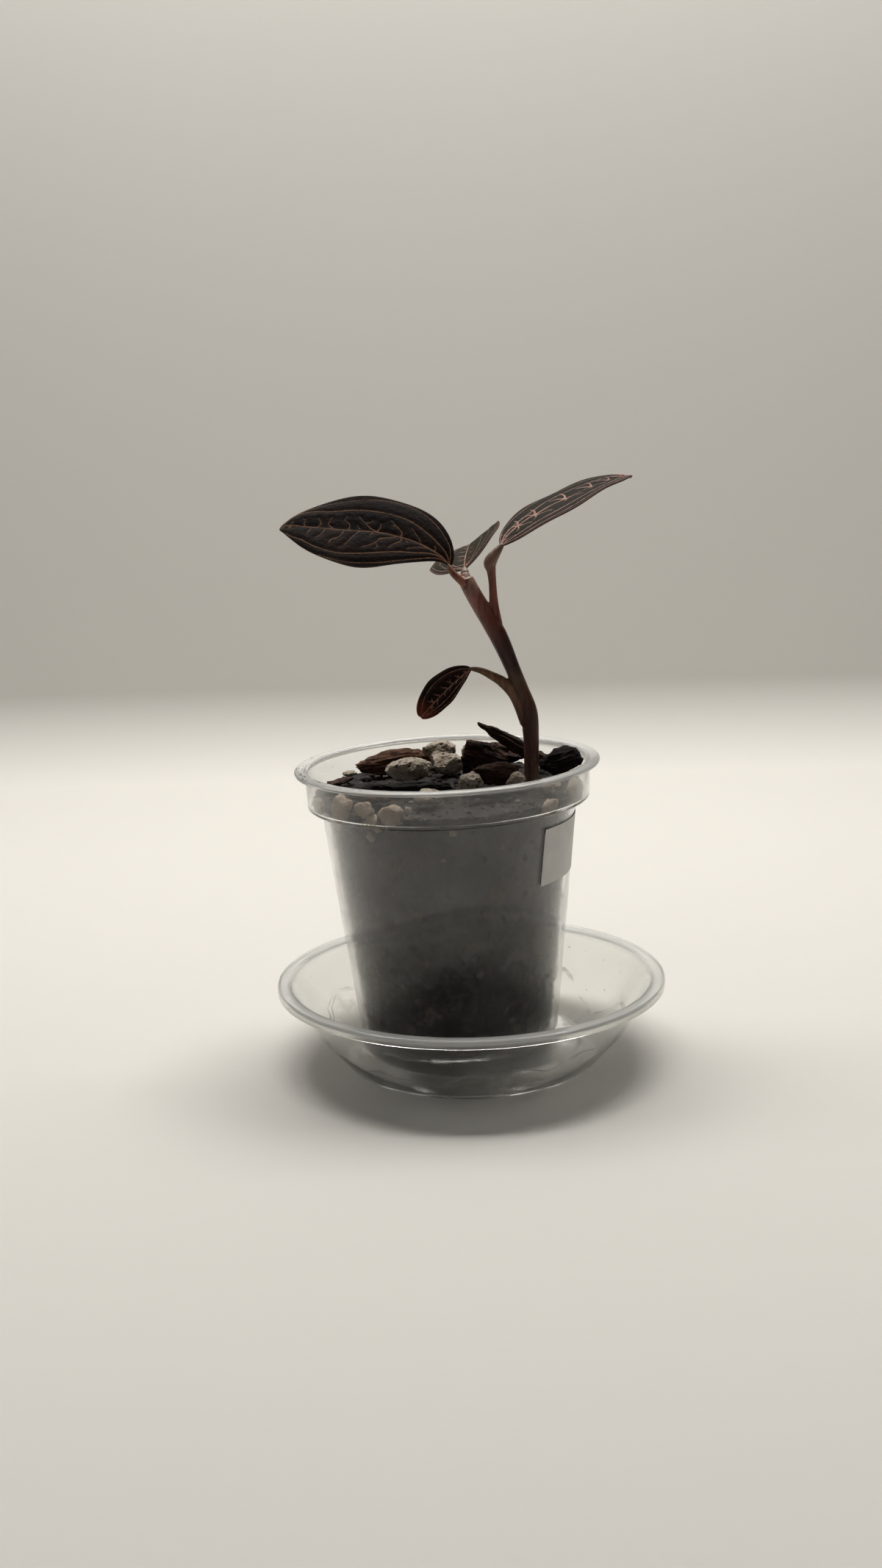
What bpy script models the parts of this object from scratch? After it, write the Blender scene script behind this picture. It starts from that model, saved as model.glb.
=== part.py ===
"""Jewel orchid in a clear nursery pot, standing in its clear saucer.

Metres, +Z up. The origin is on the table under the middle of the saucer.
The pot stands a little off the middle of the saucer and leans to the left,
so all that it holds is placed in the pot's own frame, on an empty.
"""
import math

import bmesh
import bpy
from mathutils import Matrix, Vector, noise

MM = 0.001
CLEAR = 0.3 * MM            # play between touching pieces

# Saucer
SAUCER_RIM_R = 57.8 * MM
SAUCER_H = 24.5 * MM
SAUCER_WALL = 1.0 * MM
SAUCER_FOOT_R = 38.2 * MM
SAUCER_FOOT_W = 4.6 * MM
SAUCER_SEAT_R = 32.6 * MM
SAUCER_SEAT_TOP = 5.0 * MM
SAUCER_STEPS = 56

# Pot, in its own frame with the middle of its base at the origin
POT_PLACE = (-3.66 * MM, 5.0 * MM, 6.0 * MM)
POT_LEAN = math.radians(-1.28)
POT_BASE_R = 29.7 * MM
POT_BODY_TOP_R = 37.6 * MM
POT_SHOULDER_Z = 71.2 * MM
POT_COLLAR_R = 41.7 * MM
POT_LIP_R = 45.0 * MM
POT_H = 82.5 * MM
POT_WALL = 0.8 * MM
POT_FLOOR = 1.2 * MM
POT_STEPS = 48
DRAIN_R = 2.6 * MM
DRAIN_RING_R = 19.0 * MM
DRAIN_COUNT = 6

# Paper label on the right of the body, under the collar
LABEL_ANGLES = (math.radians(-44.5), math.radians(2))
LABEL_SLANT = math.radians(1.5)
LABEL_Z = (49.7 * MM, 66.4 * MM)
LABEL_THICK = 0.4 * MM

# Potting mix
MIX_TOP = 75.2 * MM
MIX_STEPS = 40
MIX_RINGS = 5
MIX_BUMP = 0.7 * MM

BARK_BROWN = (0.115, 0.045, 0.022)
BARK_DARK = (0.028, 0.016, 0.012)
BARK_ORANGE = (0.23, 0.085, 0.03)
PUMICE_BEIGE = (0.52, 0.45, 0.36)
LEAF_BLACK = (0.030, 0.016, 0.014)
LEAF_OLIVE = (0.075, 0.080, 0.035)


def clear_scene():
    for obj in list(bpy.data.objects):
        bpy.data.objects.remove(obj, do_unlink=True)


def collection(name):
    coll = bpy.data.collections.new(name)
    bpy.context.scene.collection.children.link(coll)
    return coll


def material(name, colour, roughness, transmission=0.0, alpha=1.0):
    mat = bpy.data.materials.new(name)
    mat.use_nodes = True
    shader = mat.node_tree.nodes["Principled BSDF"]
    shader.inputs["Base Color"].default_value = (*colour, 1.0)
    shader.inputs["Roughness"].default_value = roughness
    shader.inputs["Metallic"].default_value = 0.0
    shader.inputs["Transmission Weight"].default_value = transmission
    shader.inputs["Alpha"].default_value = alpha
    return mat


def smooth(mesh, angle=40):
    mesh.shade_smooth()
    mesh.set_sharp_from_angle(angle=math.radians(angle))


def add_object(name, mesh, mat, parent=None, coll=None):
    obj = bpy.data.objects.new(name, mesh)
    (coll or PARTS).objects.link(obj)
    if mat:
        mesh.materials.clear()
        mesh.materials.append(mat)
    obj.parent = parent
    return obj


def evaluated_mesh(obj):
    bpy.context.view_layer.update()
    depsgraph = bpy.context.evaluated_depsgraph_get()
    mesh = bpy.data.meshes.new_from_object(obj.evaluated_get(depsgraph))
    work = bmesh.new()
    work.from_mesh(mesh)
    bmesh.ops.remove_doubles(work, verts=work.verts, dist=1e-6)
    work.to_mesh(mesh)
    work.free()
    return mesh


def turned(name, profile, steps):
    """A profile of (radius, height), down the outside, turned about Z into a mesh."""
    mesh = bpy.data.meshes.new(name + "_profile")
    verts = [(r, 0.0, z) for r, z in profile]
    edges = [(i, i + 1) for i in range(len(verts) - 1)]
    mesh.from_pydata(verts, edges, [])
    obj = add_object(name + "_turning", mesh, None, coll=CUTTERS)
    screw = obj.modifiers.new("Turn", "SCREW")
    screw.steps = steps
    screw.render_steps = steps
    screw.use_merge_vertices = True
    screw.merge_threshold = 0.00001
    result = evaluated_mesh(obj)
    bpy.data.objects.remove(obj, do_unlink=True)
    return result


def boolean(obj, cutter, operation):
    """Apply one Boolean and drop the cutter."""
    modifier = obj.modifiers.new(operation.title(), "BOOLEAN")
    modifier.operation = operation
    modifier.solver = "EXACT"
    modifier.object = cutter
    mesh = evaluated_mesh(obj)
    obj.modifiers.clear()
    materials = list(obj.data.materials)
    obj.data = mesh
    mesh.materials.clear()
    for mat in materials:
        mesh.materials.append(mat)
    bpy.data.objects.remove(cutter, do_unlink=True)


def tube(name, route, sides=1):
    """A round stalk along (x, y, z, radius) points, as a closed mesh object."""
    curve = bpy.data.curves.new(name, "CURVE")
    curve.dimensions = "3D"
    curve.bevel_depth = 1.0
    curve.bevel_resolution = sides
    curve.use_fill_caps = True
    spline = curve.splines.new("POLY")
    pieces = 2 * (len(route) - 1)
    points = [route_point(route, i / pieces) for i in range(pieces + 1)]
    spline.points.add(len(points) - 1)
    for point, (x, y, z, radius) in zip(spline.points, points):
        point.co = (x * MM, y * MM, z * MM, 1.0)
        point.radius = radius * MM
    obj = bpy.data.objects.new(name, curve)
    CUTTERS.objects.link(obj)
    mesh = evaluated_mesh(obj)
    bpy.data.objects.remove(obj, do_unlink=True)
    result = bpy.data.objects.new(name, mesh)
    CUTTERS.objects.link(result)
    result.hide_render = True
    result.display_type = "WIRE"
    return result


def route_point(route, share):
    """A point on the smooth curve through a route's points (Catmull-Rom)."""
    place = min(max(share, 0.0), 1.0) * (len(route) - 1)
    i = min(int(place), len(route) - 2)
    t = place - i
    before = Vector(route[max(i - 1, 0)])
    start = Vector(route[i])
    end = Vector(route[i + 1])
    after = Vector(route[min(i + 2, len(route) - 1)])
    out = 2 * start + (end - before) * t
    out += (2 * before - 5 * start + 4 * end - after) * t ** 2
    out += (3 * start - before - 3 * end + after) * t ** 3
    return tuple(out * 0.5)


def build_saucer():
    """Thin clear dish: raised seat, gutter over the foot ring, flared wall, flat rim."""
    seat, foot, wall = SAUCER_SEAT_TOP, SAUCER_FOOT_R, SAUCER_WALL
    inner_foot = foot - SAUCER_FOOT_W
    rim, top = SAUCER_RIM_R, SAUCER_H
    profile = [
        (0.0, seat),
        (SAUCER_SEAT_R - 1.2 * MM, seat),
        (SAUCER_SEAT_R, seat - 0.5 * MM),
        (inner_foot + 0.9 * MM, wall),
        (foot - 0.6 * MM, wall),
        (45.2 * MM, 10.0 * MM),
        (51.3 * MM, 20.0 * MM),
        (53.6 * MM, top - 0.4 * MM),
        (54.4 * MM, top),
        (rim - 0.5 * MM, top),
        (rim, top - 0.6 * MM),
        (rim, top - 2.4 * MM),
        (rim - 0.8 * MM, top - 2.4 * MM),
        (rim - 1.0 * MM, top - 1.1 * MM),
        (54.6 * MM, top - 1.3 * MM),
        (52.5 * MM, 20.0 * MM),
        (46.3 * MM, 9.6 * MM),
        (foot + 0.2 * MM, 0.5 * MM),
        (foot - 0.3 * MM, 0.0),
        (inner_foot, 0.0),
        (SAUCER_SEAT_R - 1.4 * MM, seat - wall),
        (0.0, seat - wall),
    ]
    mesh = turned("saucer", profile, SAUCER_STEPS)
    smooth(mesh, 30)
    add_object("saucer", mesh, CLEAR_PLASTIC)


def body_radius(z):
    """Outer radius of the pot's tapered body at a height above its base."""
    return POT_BASE_R + (POT_BODY_TOP_R - POT_BASE_R) * z / POT_SHOULDER_Z


def build_pot():
    """Clear nursery pot: tapered body, stepped collar and flat lip, drain holes."""
    wall, shoulder, height = POT_WALL, POT_SHOULDER_Z, POT_H
    profile = [
        (0.0, POT_FLOOR),
        (POT_BASE_R - wall - 0.5 * MM, POT_FLOOR),
        (body_radius(2 * MM) - wall, 2.0 * MM),
        (body_radius(shoulder) - wall, shoulder + 0.6 * MM),
        (POT_COLLAR_R - wall - 0.4 * MM, shoulder + 0.9 * MM),
        (POT_COLLAR_R - wall, shoulder + 1.4 * MM),
        (POT_COLLAR_R - 0.6 * MM, height - 0.5 * MM),
        (POT_COLLAR_R - 0.1 * MM, height),
        (POT_LIP_R - 0.4 * MM, height),
        (POT_LIP_R, height - 0.4 * MM),
        (POT_LIP_R - 0.1 * MM, height - 1.1 * MM),
        (POT_COLLAR_R + 0.5 * MM, height - 1.0 * MM),
        (POT_COLLAR_R + 0.2 * MM, height - 1.6 * MM),
        (POT_COLLAR_R, shoulder + 0.5 * MM),
        (POT_COLLAR_R - 0.5 * MM, shoulder),
        (body_radius(shoulder) + 0.1 * MM, shoulder - 0.3 * MM),
        (body_radius(1 * MM), 1.0 * MM),
        (POT_BASE_R - 0.8 * MM, 0.0),
        (0.0, 0.0),
    ]
    mesh = turned("pot", profile, POT_STEPS)
    pot = add_object("pot", mesh, CLEAR_PLASTIC, POT_SEAT)
    places = [(0.0, 0.0)]
    for i in range(DRAIN_COUNT):
        angle = math.tau * i / DRAIN_COUNT
        places.append((DRAIN_RING_R * math.cos(angle), DRAIN_RING_R * math.sin(angle)))
    work = bmesh.new()
    for x, y in places:
        move = Matrix.Translation((x, y, POT_FLOOR / 2))
        bmesh.ops.create_cone(work, cap_ends=True, segments=12, radius1=DRAIN_R, radius2=DRAIN_R,
                              depth=4 * POT_FLOOR, matrix=move)
    holes = bpy.data.meshes.new("drain_holes")
    work.to_mesh(holes)
    work.free()
    cutter = add_object("drain_holes", holes, None, POT_SEAT, CUTTERS)
    cutter.hide_render = True
    cutter.display_type = "WIRE"
    boolean(pot, cutter, "DIFFERENCE")
    smooth(pot.data, 30)


def build_label():
    """Blank paper sticker, bent round the body."""
    steps = 10
    work = bmesh.new()
    rows = []
    for z, slant in zip(LABEL_Z, (0.0, LABEL_SLANT)):
        row = []
        for i in range(steps + 1):
            angle = slant + LABEL_ANGLES[0] + (LABEL_ANGLES[1] - LABEL_ANGLES[0]) * i / steps
            radius = body_radius(z) + CLEAR
            row.append(work.verts.new((radius * math.cos(angle), radius * math.sin(angle), z)))
        rows.append(row)
    for i in range(steps):
        work.faces.new((rows[0][i], rows[0][i + 1], rows[1][i + 1], rows[1][i]))
    mesh = bpy.data.meshes.new("label")
    work.to_mesh(mesh)
    work.free()
    label = add_object("label", mesh, PAPER, POT_SEAT)
    solid = label.modifiers.new("Paper", "SOLIDIFY")
    solid.thickness = LABEL_THICK
    solid.offset = 1.0


def mix_height(x, y):
    """Uneven top of the potting mix."""
    point = Vector((x, y, 0.0)) * 160
    return MIX_TOP + MIX_BUMP * noise.noise(point)


def build_mix(buried):
    """Potting mix: fills the pot, bumpy on top and where it meets the wall."""
    shoulder = POT_SHOULDER_Z
    gap = POT_WALL + CLEAR
    side = [(POT_COLLAR_R - gap - 0.2 * MM, MIX_TOP - 0.6 * MM),
            (POT_COLLAR_R - gap - 0.5 * MM, shoulder + 1.8 * MM),
            (body_radius(shoulder) - gap, shoulder + 0.9 * MM)]
    levels = 7
    floor = POT_FLOOR + CLEAR
    for i in range(1, levels + 1):
        z = shoulder + (floor + 1.0 * MM - shoulder) * i / levels
        side.append((body_radius(z) - gap, z))
    top = [(0.0, MIX_TOP)]
    top += [(side[0][0] * i / MIX_RINGS, MIX_TOP) for i in range(1, MIX_RINGS)]
    profile = top + side + [(POT_BASE_R - gap - 1.0 * MM, floor), (0.0, floor)]
    mesh = turned("mix", profile, MIX_STEPS)
    for vert in mesh.vertices:
        radius = math.hypot(vert.co.x, vert.co.y)
        if vert.co.z > MIX_TOP - 0.1 * MM:
            vert.co.z = mix_height(vert.co.x, vert.co.y)
        elif floor + 0.5 * MM < vert.co.z < shoulder:
            bump = 0.5 + 0.5 * noise.noise(vert.co * 170)
            vert.co.xy *= 1.0 - 1.6 * MM * bump / radius
    smooth(mesh, 50)
    mix = add_object("potting_mix", mesh, MIX, POT_SEAT)
    buried.parent = POT_SEAT
    boolean(mix, buried, "DIFFERENCE")


# Stalks of the plant, in mm in the pot's frame: x, y, z and radius
STEM = [(24.3, -1.2, 56.0, 1.7), (24.6, -1.5, 70.0, 2.1), (24.8, -1.5, 79.0, 2.1),
        (25.1, -1.5, 88.0, 2.3), (24.6, -1.5, 96.0, 2.7), (22.6, -1.5, 103.0, 2.3),
        (20.6, -1.5, 109.0, 2.2), (17.6, -1.6, 117.0, 2.6), (15.3, -1.6, 122.0, 2.7),
        (12.2, -1.7, 127.5, 2.5), (9.6, -1.8, 132.5, 2.4), (8.2, -1.4, 135.6, 2.3)]
STALK_UPPER_RIGHT = [(17.4, -1.6, 118.0, 1.8), (16.2, -1.5, 124.0, 1.7), (15.9, -1.5, 129.0, 1.3),
                     (15.8, -1.5, 134.0, 1.15), (15.6, -1.5, 137.6, 1.35), (15.5, -1.5, 140.4, 1.9)]
STALK_UPPER_LEFT = [(8.6, -2.4, 133.5, 1.3), (6.4, -3.4, 135.9, 1.2), (4.6, -3.5, 137.7, 1.0)]
STALK_LOW_LEFT = [(24.2, -1.5, 93.0, 2.2), (22.6, -1.6, 98.5, 2.3), (20.6, -1.8, 102.2, 2.0),
                  (17.4, -2.1, 105.5, 1.6), (14.4, -2.4, 107.5, 1.25), (11.3, -2.8, 109.2, 0.95)]
STALK_BACK = [(8.8, -1.6, 134.0, 1.9), (8.1, -1.1, 136.2, 1.6)]
ROOTS = [
    [(24.4, -1.3, 60.0, 1.4), (19.0, 3.0, 50.0, 1.3), (16.0, 10.0, 38.0, 1.1), (6.0, 14.0, 24.0, 0.9)],
    [(24.4, -1.3, 62.0, 1.4), (20.0, -8.0, 54.0, 1.3), (12.0, -14.0, 42.0, 1.1), (-2.0, -12.0, 30.0, 0.9)],
    [(24.4, -1.3, 58.0, 1.4), (25.0, 2.0, 46.0, 1.3), (20.0, -4.0, 32.0, 1.1), (10.0, -2.0, 18.0, 0.9)],
]


class Leaf:
    """One blade: a curved midrib, and on each side a width that swells and closes.

    rib   four Bezier points of the midrib in mm, from the stalk to the tip
    side  width in mm, fullness exponents, and rise of the blade's side in
          degrees at the stalk, the middle and the tip; left looks to the tip
    """

    def __init__(self, name, rib, left, right, mat, wave=0.3, cup=0.5):
        self.name = name
        self.rib = [Vector(p) for p in rib]
        self.left = left
        self.right = right
        self.mat = mat
        self.wave = wave
        self.cup = cup

    def frame(self, t):
        a, b, c, d = self.rib
        point = a * (1 - t) ** 3 + b * 3 * t * (1 - t) ** 2 + c * 3 * t * t * (1 - t) + d * t ** 3
        along = (b - a) * (1 - t) ** 2 + (c - b) * 2 * t * (1 - t) + (d - c) * t * t
        along.normalize()
        across = Vector((0, 0, 1)).cross(along).normalized()
        return point, along, across, along.cross(across)

    def point(self, t, s):
        """A point of the blade in mm: t from stalk to tip, s from -1 right to 1 left."""
        middle, along, across, up = self.frame(t)
        width, swell, power, rises = self.left if s >= 0 else self.right
        half = max(width * math.sin(math.pi * t ** swell) ** power, 0.45)
        rise = rises[0] * (1 - t) * (1 - 2 * t) + rises[1] * 4 * t * (1 - t) + rises[2] * t * (2 * t - 1)
        rise = math.radians(rise)
        reach = half * s
        lift = half * abs(s) * math.sin(rise)
        lift += self.cup * math.sin(math.pi * abs(s)) * half / width
        lift += self.wave * math.sin(t * 17.0 + 2.0 * s) * abs(s) ** 3 * half / width
        return middle + across * reach * math.cos(rise) + up * lift

    def build(self, stations=16, lanes=3, thick=0.7):
        shares = [0.006 + 0.988 * i / stations for i in range(stations + 1)]
        work = bmesh.new()
        rows = []
        for t in shares:
            rows.append([work.verts.new(self.point(t, j / lanes) * MM) for j in range(-lanes, lanes + 1)])
        for row, following in zip(rows, rows[1:]):
            for j in range(2 * lanes):
                work.faces.new((row[j], row[j + 1], following[j + 1], following[j]))
        bmesh.ops.recalc_face_normals(work, faces=work.faces)
        bmesh.ops.triangulate(work, faces=work.faces, quad_method="SHORT_EDGE")
        mesh = bpy.data.meshes.new(self.name)
        work.to_mesh(mesh)
        work.free()
        smooth(mesh, 60)
        blade = add_object(self.name, mesh, self.mat, POT_SEAT)
        solid = blade.modifiers.new("Blade", "SOLIDIFY")
        solid.thickness = thick * MM
        solid.offset = 0.0


def stalk_to(route, leaf, radius):
    """The route, led on to just short of the leaf's blade, in line with its midrib."""
    start, along = leaf.frame(0.0)[:2]
    return route + [(*(start - along * 0.55), radius)]


def build_stem(leaves):
    """Stem with its leaf stalks and roots in one body, as it grew."""
    routes = [("stalk_left", stalk_to(STALK_UPPER_LEFT, leaves["left"], 0.8)),
              ("stalk_right", stalk_to(STALK_UPPER_RIGHT, leaves["right"], 0.9)),
              ("stalk_low", stalk_to(STALK_LOW_LEFT, leaves["low"], 0.6)),
              ("stalk_back", stalk_to(STALK_BACK, leaves["back"], 1.0))]
    routes += [("root", root) for root in ROOTS]
    stem = tube("stem", STEM, 2)
    for name, route in routes:
        boolean(stem, tube(name, route), "UNION")
    smooth(stem.data, 50)
    add_object("orchid_stem", stem.data, STALK, POT_SEAT)
    bpy.data.objects.remove(stem, do_unlink=True)


def build_burrow():
    """The room that the stem's foot and roots take up in the mix."""
    play = CLEAR / MM + 0.05
    foot = [(x, y, z, r + play) for x, y, z, r in STEM[:4]]
    foot[0] = (*foot[0][:2], foot[0][2] - play - 0.2, foot[0][3])
    burrow = tube("burrow", foot, 2)
    for root in ROOTS:
        room = [(x, y, z, r + play) for x, y, z, r in root]
        last = Vector(root[-1][:3])
        step = (last - Vector(root[-2][:3])).normalized() * (play + 0.3)
        room[-1] = (*(last + step), root[-1][3] + play)
        boolean(burrow, tube("room", room), "UNION")
    return burrow


def scaled(point, size):
    """A point of a unit lump, brought to the lump's size in mm."""
    return Vector((point.x * size[0], point.y * size[1], point.z * size[2])) * MM


def bark_mesh(name, size, seed, peak, ends):
    """A split chip: highest at its peak, drawn in towards its ends, all faces uneven.

    peak is -1 at the left end to 1 at the right one, and each of the two ends
    is 0 where it is blunt and 1 where it is a point.
    """
    work = bmesh.new()
    bmesh.ops.create_cube(work, size=1.0)
    bmesh.ops.subdivide_edges(work, edges=work.edges, cuts=3, use_grid_fill=True)
    shift = Vector((3.1 * seed, 1.7 * seed, 0.9 * seed))
    for vert in work.verts:
        point = vert.co
        along = 2 * point.x
        drawn = 1.0 - 0.85 * ends[along > 0] * abs(along) ** 2.2
        fallen = 1.0 - 0.5 * abs(along - peak) ** 1.3 / (1 + abs(peak))
        corner = 1.0 - 0.35 * (4 * abs(point.y * point.z)) ** 2
        shaped = Vector((point.x, point.y * drawn * corner, point.z * drawn * corner))
        if point.z > 0:
            shaped.z *= fallen
        shaped += 0.13 * noise.noise_vector(point * 1.7 + shift)
        shaped += 0.05 * noise.noise_vector(point * 5.3 + shift)
        vert.co = scaled(shaped, size)
    bmesh.ops.triangulate(work, faces=work.faces)
    mesh = bpy.data.meshes.new(name)
    work.to_mesh(mesh)
    work.free()
    return mesh


def pumice_mesh(name, size, seed):
    """A rounded, knobbly stone."""
    work = bmesh.new()
    bmesh.ops.create_icosphere(work, subdivisions=2, radius=0.5)
    shift = Vector((3.1 * seed, 1.7 * seed, 0.9 * seed))
    for vert in work.verts:
        knob = 0.32 * noise.noise(vert.co * 2.6 + shift) + 0.16 * noise.noise(vert.co * 6.0 + shift)
        vert.co = scaled(vert.co * (1.0 + knob), size)
    mesh = bpy.data.meshes.new(name)
    work.to_mesh(mesh)
    work.free()
    smooth(mesh, 60)
    return mesh


def lay_lump(mesh, place, turn, mat):
    """Lay a lump on the mix at (x, y) mm, turned by degrees about X, Y and Z."""
    across, lengthways, about = (math.radians(degrees) for degrees in turn)
    tilt = Matrix.Rotation(about, 4, "Z") @ Matrix.Rotation(lengthways, 4, "Y")
    mesh.transform(tilt @ Matrix.Rotation(across, 4, "X"))
    x, y = place[0] * MM, place[1] * MM
    rest = max(mix_height(x + v.co.x, y + v.co.y) - v.co.z for v in mesh.vertices)
    mesh.transform(Matrix.Translation((x, y, rest + CLEAR)))
    add_object(mesh.name, mesh, mat, POT_SEAT)


CHIP_SEED = 3
# Name, place, size, turn about X Y Z in degrees, colour, seed, peak, ends
BARK = [
    ("bark_left", (-17.2, 17.2), (20.6, 8.4, 7.2), (12, -4, 6), "orange", 1, 0.3, (0.7, 0.4)),
    ("bark_edge_1", (-33.5, -5.5), (9.0, 3.2, 2.4), (0, 6, -16), "dark", 2, -0.6, (0.2, 0.9)),
    ("bark_edge_2", (-22.5, -5.2), (9.0, 3.2, 2.6), (8, 0, -4), "dark", 3, 0.4, (0.8, 0.4)),
    ("bark_edge_3", (-32.5, 5.5), (10.0, 4.0, 2.6), (0, -5, 38), "brown", 4, 0.0, (0.7, 0.6)),
    ("bark_front", (-9.0, -13.0), (19.5, 6.0, 4.2), (-8, 2, 0), "dark", 5, -0.3, (0.5, 0.7)),
    ("bark_striped", (11.4, 7.0), (12.6, 6.2, 12.0), (16, 8, -6), "brown", 6, -0.9, (0.1, 0.5)),
    ("bark_back", (16.4, 24.8), (14.0, 6.8, 6.4), (6, 5, -12), "brown", 7, -0.4, (0.3, 0.6)),
    ("bark_red", (14.0, -8.2), (12.8, 6.8, 7.6), (-14, 10, 6), "brown", 8, 0.5, (0.8, 0.3)),
    ("bark_black", (33.2, 2.2), (12.4, 9.0, 8.4), (6, -8, 10), "dark", 9, 0.5, (0.9, 0.3)),
    ("bark_rear_left", (-20.0, 28.0), (12.0, 7.0, 4.2), (5, 4, 30), "brown", 10, 0.2, (0.4, 0.6)),
    ("bark_rear_right", (28.2, 19.4),(9.0, 6.0, 4.6), (-6, 5, -38), "dark", 11, -0.2, (0.5, 0.4)),
    ("bark_front_right", (12.0, -25.0), (13.0, 7.0, 3.6), (4, 3, 14), "dark", 12, 0.1, (0.6, 0.4)),
    ("bark_front_left", (-22.0, -23.0), (12.5, 7.0, 3.4), (-4, 3, -28), "brown", 13, -0.2, (0.4, 0.7)),
]
PUMICE = [
    ("pumice_left", (-10.8, 3.2), (14.4, 9.5, 7.8), (0, 0, 6), 21),
    ("pumice_middle", (0.2, 13.4), (10.2, 7.6, 6.8), (0, 0, -10), 22),
    ("pumice_back", (-2.4, 25.5), (10.5, 9.0, 8.6), (0, 0, 20), 23),
    ("pumice_pale", (8.2, 33.3), (8.0, 7.0, 7.2), (0, 0, 0), 24),
    ("pumice_front", (6.9, -16.6), (7.0, 6.2, 6.4), (0, 0, 0), 25),
    ("pumice_small", (19.8, -15.0), (5.6, 5.2, 5.6), (0, 0, 0), 26),
    ("pumice_white", (26.0, 8.0), (3.6, 3.4, 3.2), (0, 0, 0), 27),
    ("pumice_rear", (-30.5, 19.5), (4.6, 4.2, 1.8), (0, 0, 0), 28),
    ("pumice_near", (-5.0, -28.5), (9.0, 7.4, 4.4), (0, 0, 0), 29),
    ("pumice_right", (28.5, -19.0), (7.4, 6.4, 4.6), (0, 0, 0), 30),
]
SLIVER = [(31.0, 12.6, 78.2, 1.2), (25.0, 12.8, 81.2, 2.3), (17.6, 12.4, 86.2, 2.2), (9.6, 11.0, 91.4, 0.6)]


def build_dressing():
    """Bark chips, pumice stones and one splinter, lying loose on the mix."""
    barks = {"orange": material("bark_orange", BARK_ORANGE, 0.8),
             "brown": material("bark_brown", BARK_BROWN, 0.85),
             "dark": material("bark_dark", BARK_DARK, 0.9)}
    pumice = material("pumice", PUMICE_BEIGE, 0.95)
    for name, place, size, turn, colour, seed, peak, ends in BARK:
        lay_lump(bark_mesh(name, size, seed, peak, ends), place, turn, barks[colour])
    for name, place, size, turn, seed in PUMICE:
        lay_lump(pumice_mesh(name, size, seed), place, turn, pumice)
    splinter = tube("splinter", SLIVER, 1)
    add_object("bark_splinter", splinter.data, barks["brown"], POT_SEAT)
    bpy.data.objects.remove(splinter, do_unlink=True)


clear_scene()
PARTS = collection("jewel_orchid")
CUTTERS = collection("cutters")
CLEAR_PLASTIC = material("clear_plastic", (0.80, 0.80, 0.78), 0.22, transmission=0.85)
PAPER = material("label_paper", (0.82, 0.81, 0.79), 0.6)
MIX = material("potting_mix", (0.045, 0.030, 0.024), 0.95)
STALK = material("stalk", (0.20, 0.075, 0.050), 0.5)
BLADE_DARK = material("leaf_dark", LEAF_BLACK, 0.45)
BLADE_OLIVE = material("leaf_olive", LEAF_OLIVE, 0.45)

POT_SEAT = bpy.data.objects.new("pot_seat", None)
PARTS.objects.link(POT_SEAT)
POT_SEAT.location = POT_PLACE
POT_SEAT.rotation_euler = (0.0, POT_LEAN, 0.0)

LEAVES = {
    "left": Leaf("leaf_left",
                 [(3.7, -3.0, 139.4), (0.0, -2.5, 150.1), (-33.6, -3.0, 154.2), (-44.1, -5.0, 152.6)],
                 (12.5, 1.28, 1.0, (-52, -52, -48)), (12.2, 0.85, 1.0, (52, 52, 49)), BLADE_DARK),
    "right": Leaf("leaf_right",
                  [(18.6, -1.5, 144.4), (24.5, 2.9, 152.1), (55.2, 24.3, 163.8), (59.2, 27.1, 161.1)],
                  (10.9, 0.97, 1.0, (14, 2, 15)), (11.4, 0.85, 0.95, (-3, 3, 2)), BLADE_OLIVE),
    "back": Leaf("leaf_back",
                 [(8.0, 0.4, 138.2), (8.3, 12.0, 140.6), (9.5, 26.0, 143.4), (10.0, 38.0, 142.8)],
                 (12.0, 0.9, 0.8, (-18, -20, -16)), (13.5, 0.9, 0.8, (38, 41, 30)), BLADE_OLIVE),
    "low": Leaf("leaf_low",
                [(8.5, -3.0, 109.9), (3.5, -5.0, 106.7), (-1.0, -8.0, 102.9), (-6.7, -10.0, 97.4)],
                (3.5, 1.6, 0.47, (-55, -55, -55)), (5.5, 1.15, 0.46, (56, 56, 56)), BLADE_DARK, 0.1, 0.2),
}

noise.seed_set(CHIP_SEED)
build_saucer()
build_pot()
build_label()
build_mix(build_burrow())
build_stem(LEAVES)
for leaf in LEAVES.values():
    leaf.build()
build_dressing()
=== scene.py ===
import math
import random

import bpy
import numpy as np
from mathutils import Matrix, Vector, noise


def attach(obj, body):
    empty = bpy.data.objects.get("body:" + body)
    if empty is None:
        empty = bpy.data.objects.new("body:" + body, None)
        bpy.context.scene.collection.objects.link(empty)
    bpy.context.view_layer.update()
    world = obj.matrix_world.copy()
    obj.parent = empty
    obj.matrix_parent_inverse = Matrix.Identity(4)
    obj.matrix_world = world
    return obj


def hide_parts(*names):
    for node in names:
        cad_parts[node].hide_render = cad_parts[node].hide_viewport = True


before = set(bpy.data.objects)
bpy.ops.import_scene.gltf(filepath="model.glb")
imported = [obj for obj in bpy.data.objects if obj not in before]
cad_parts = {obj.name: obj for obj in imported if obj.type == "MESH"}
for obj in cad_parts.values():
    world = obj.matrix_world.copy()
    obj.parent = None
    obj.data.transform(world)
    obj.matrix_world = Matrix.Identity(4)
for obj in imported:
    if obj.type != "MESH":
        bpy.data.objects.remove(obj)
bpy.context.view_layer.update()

# The studio: one pale sweep of paper, a soft light high behind the plant and
# a weak fill. The camera stands a little above the pot and looks down at it.
MM = 0.001
CAMERA_PLACE = Vector((0.0, -473.7, 182.06)) * MM
CAMERA_YAW, CAMERA_PITCH, CAMERA_ROLL = -0.0154, 0.2069, -0.0292
CAMERA_LENS = 37.957

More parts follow.
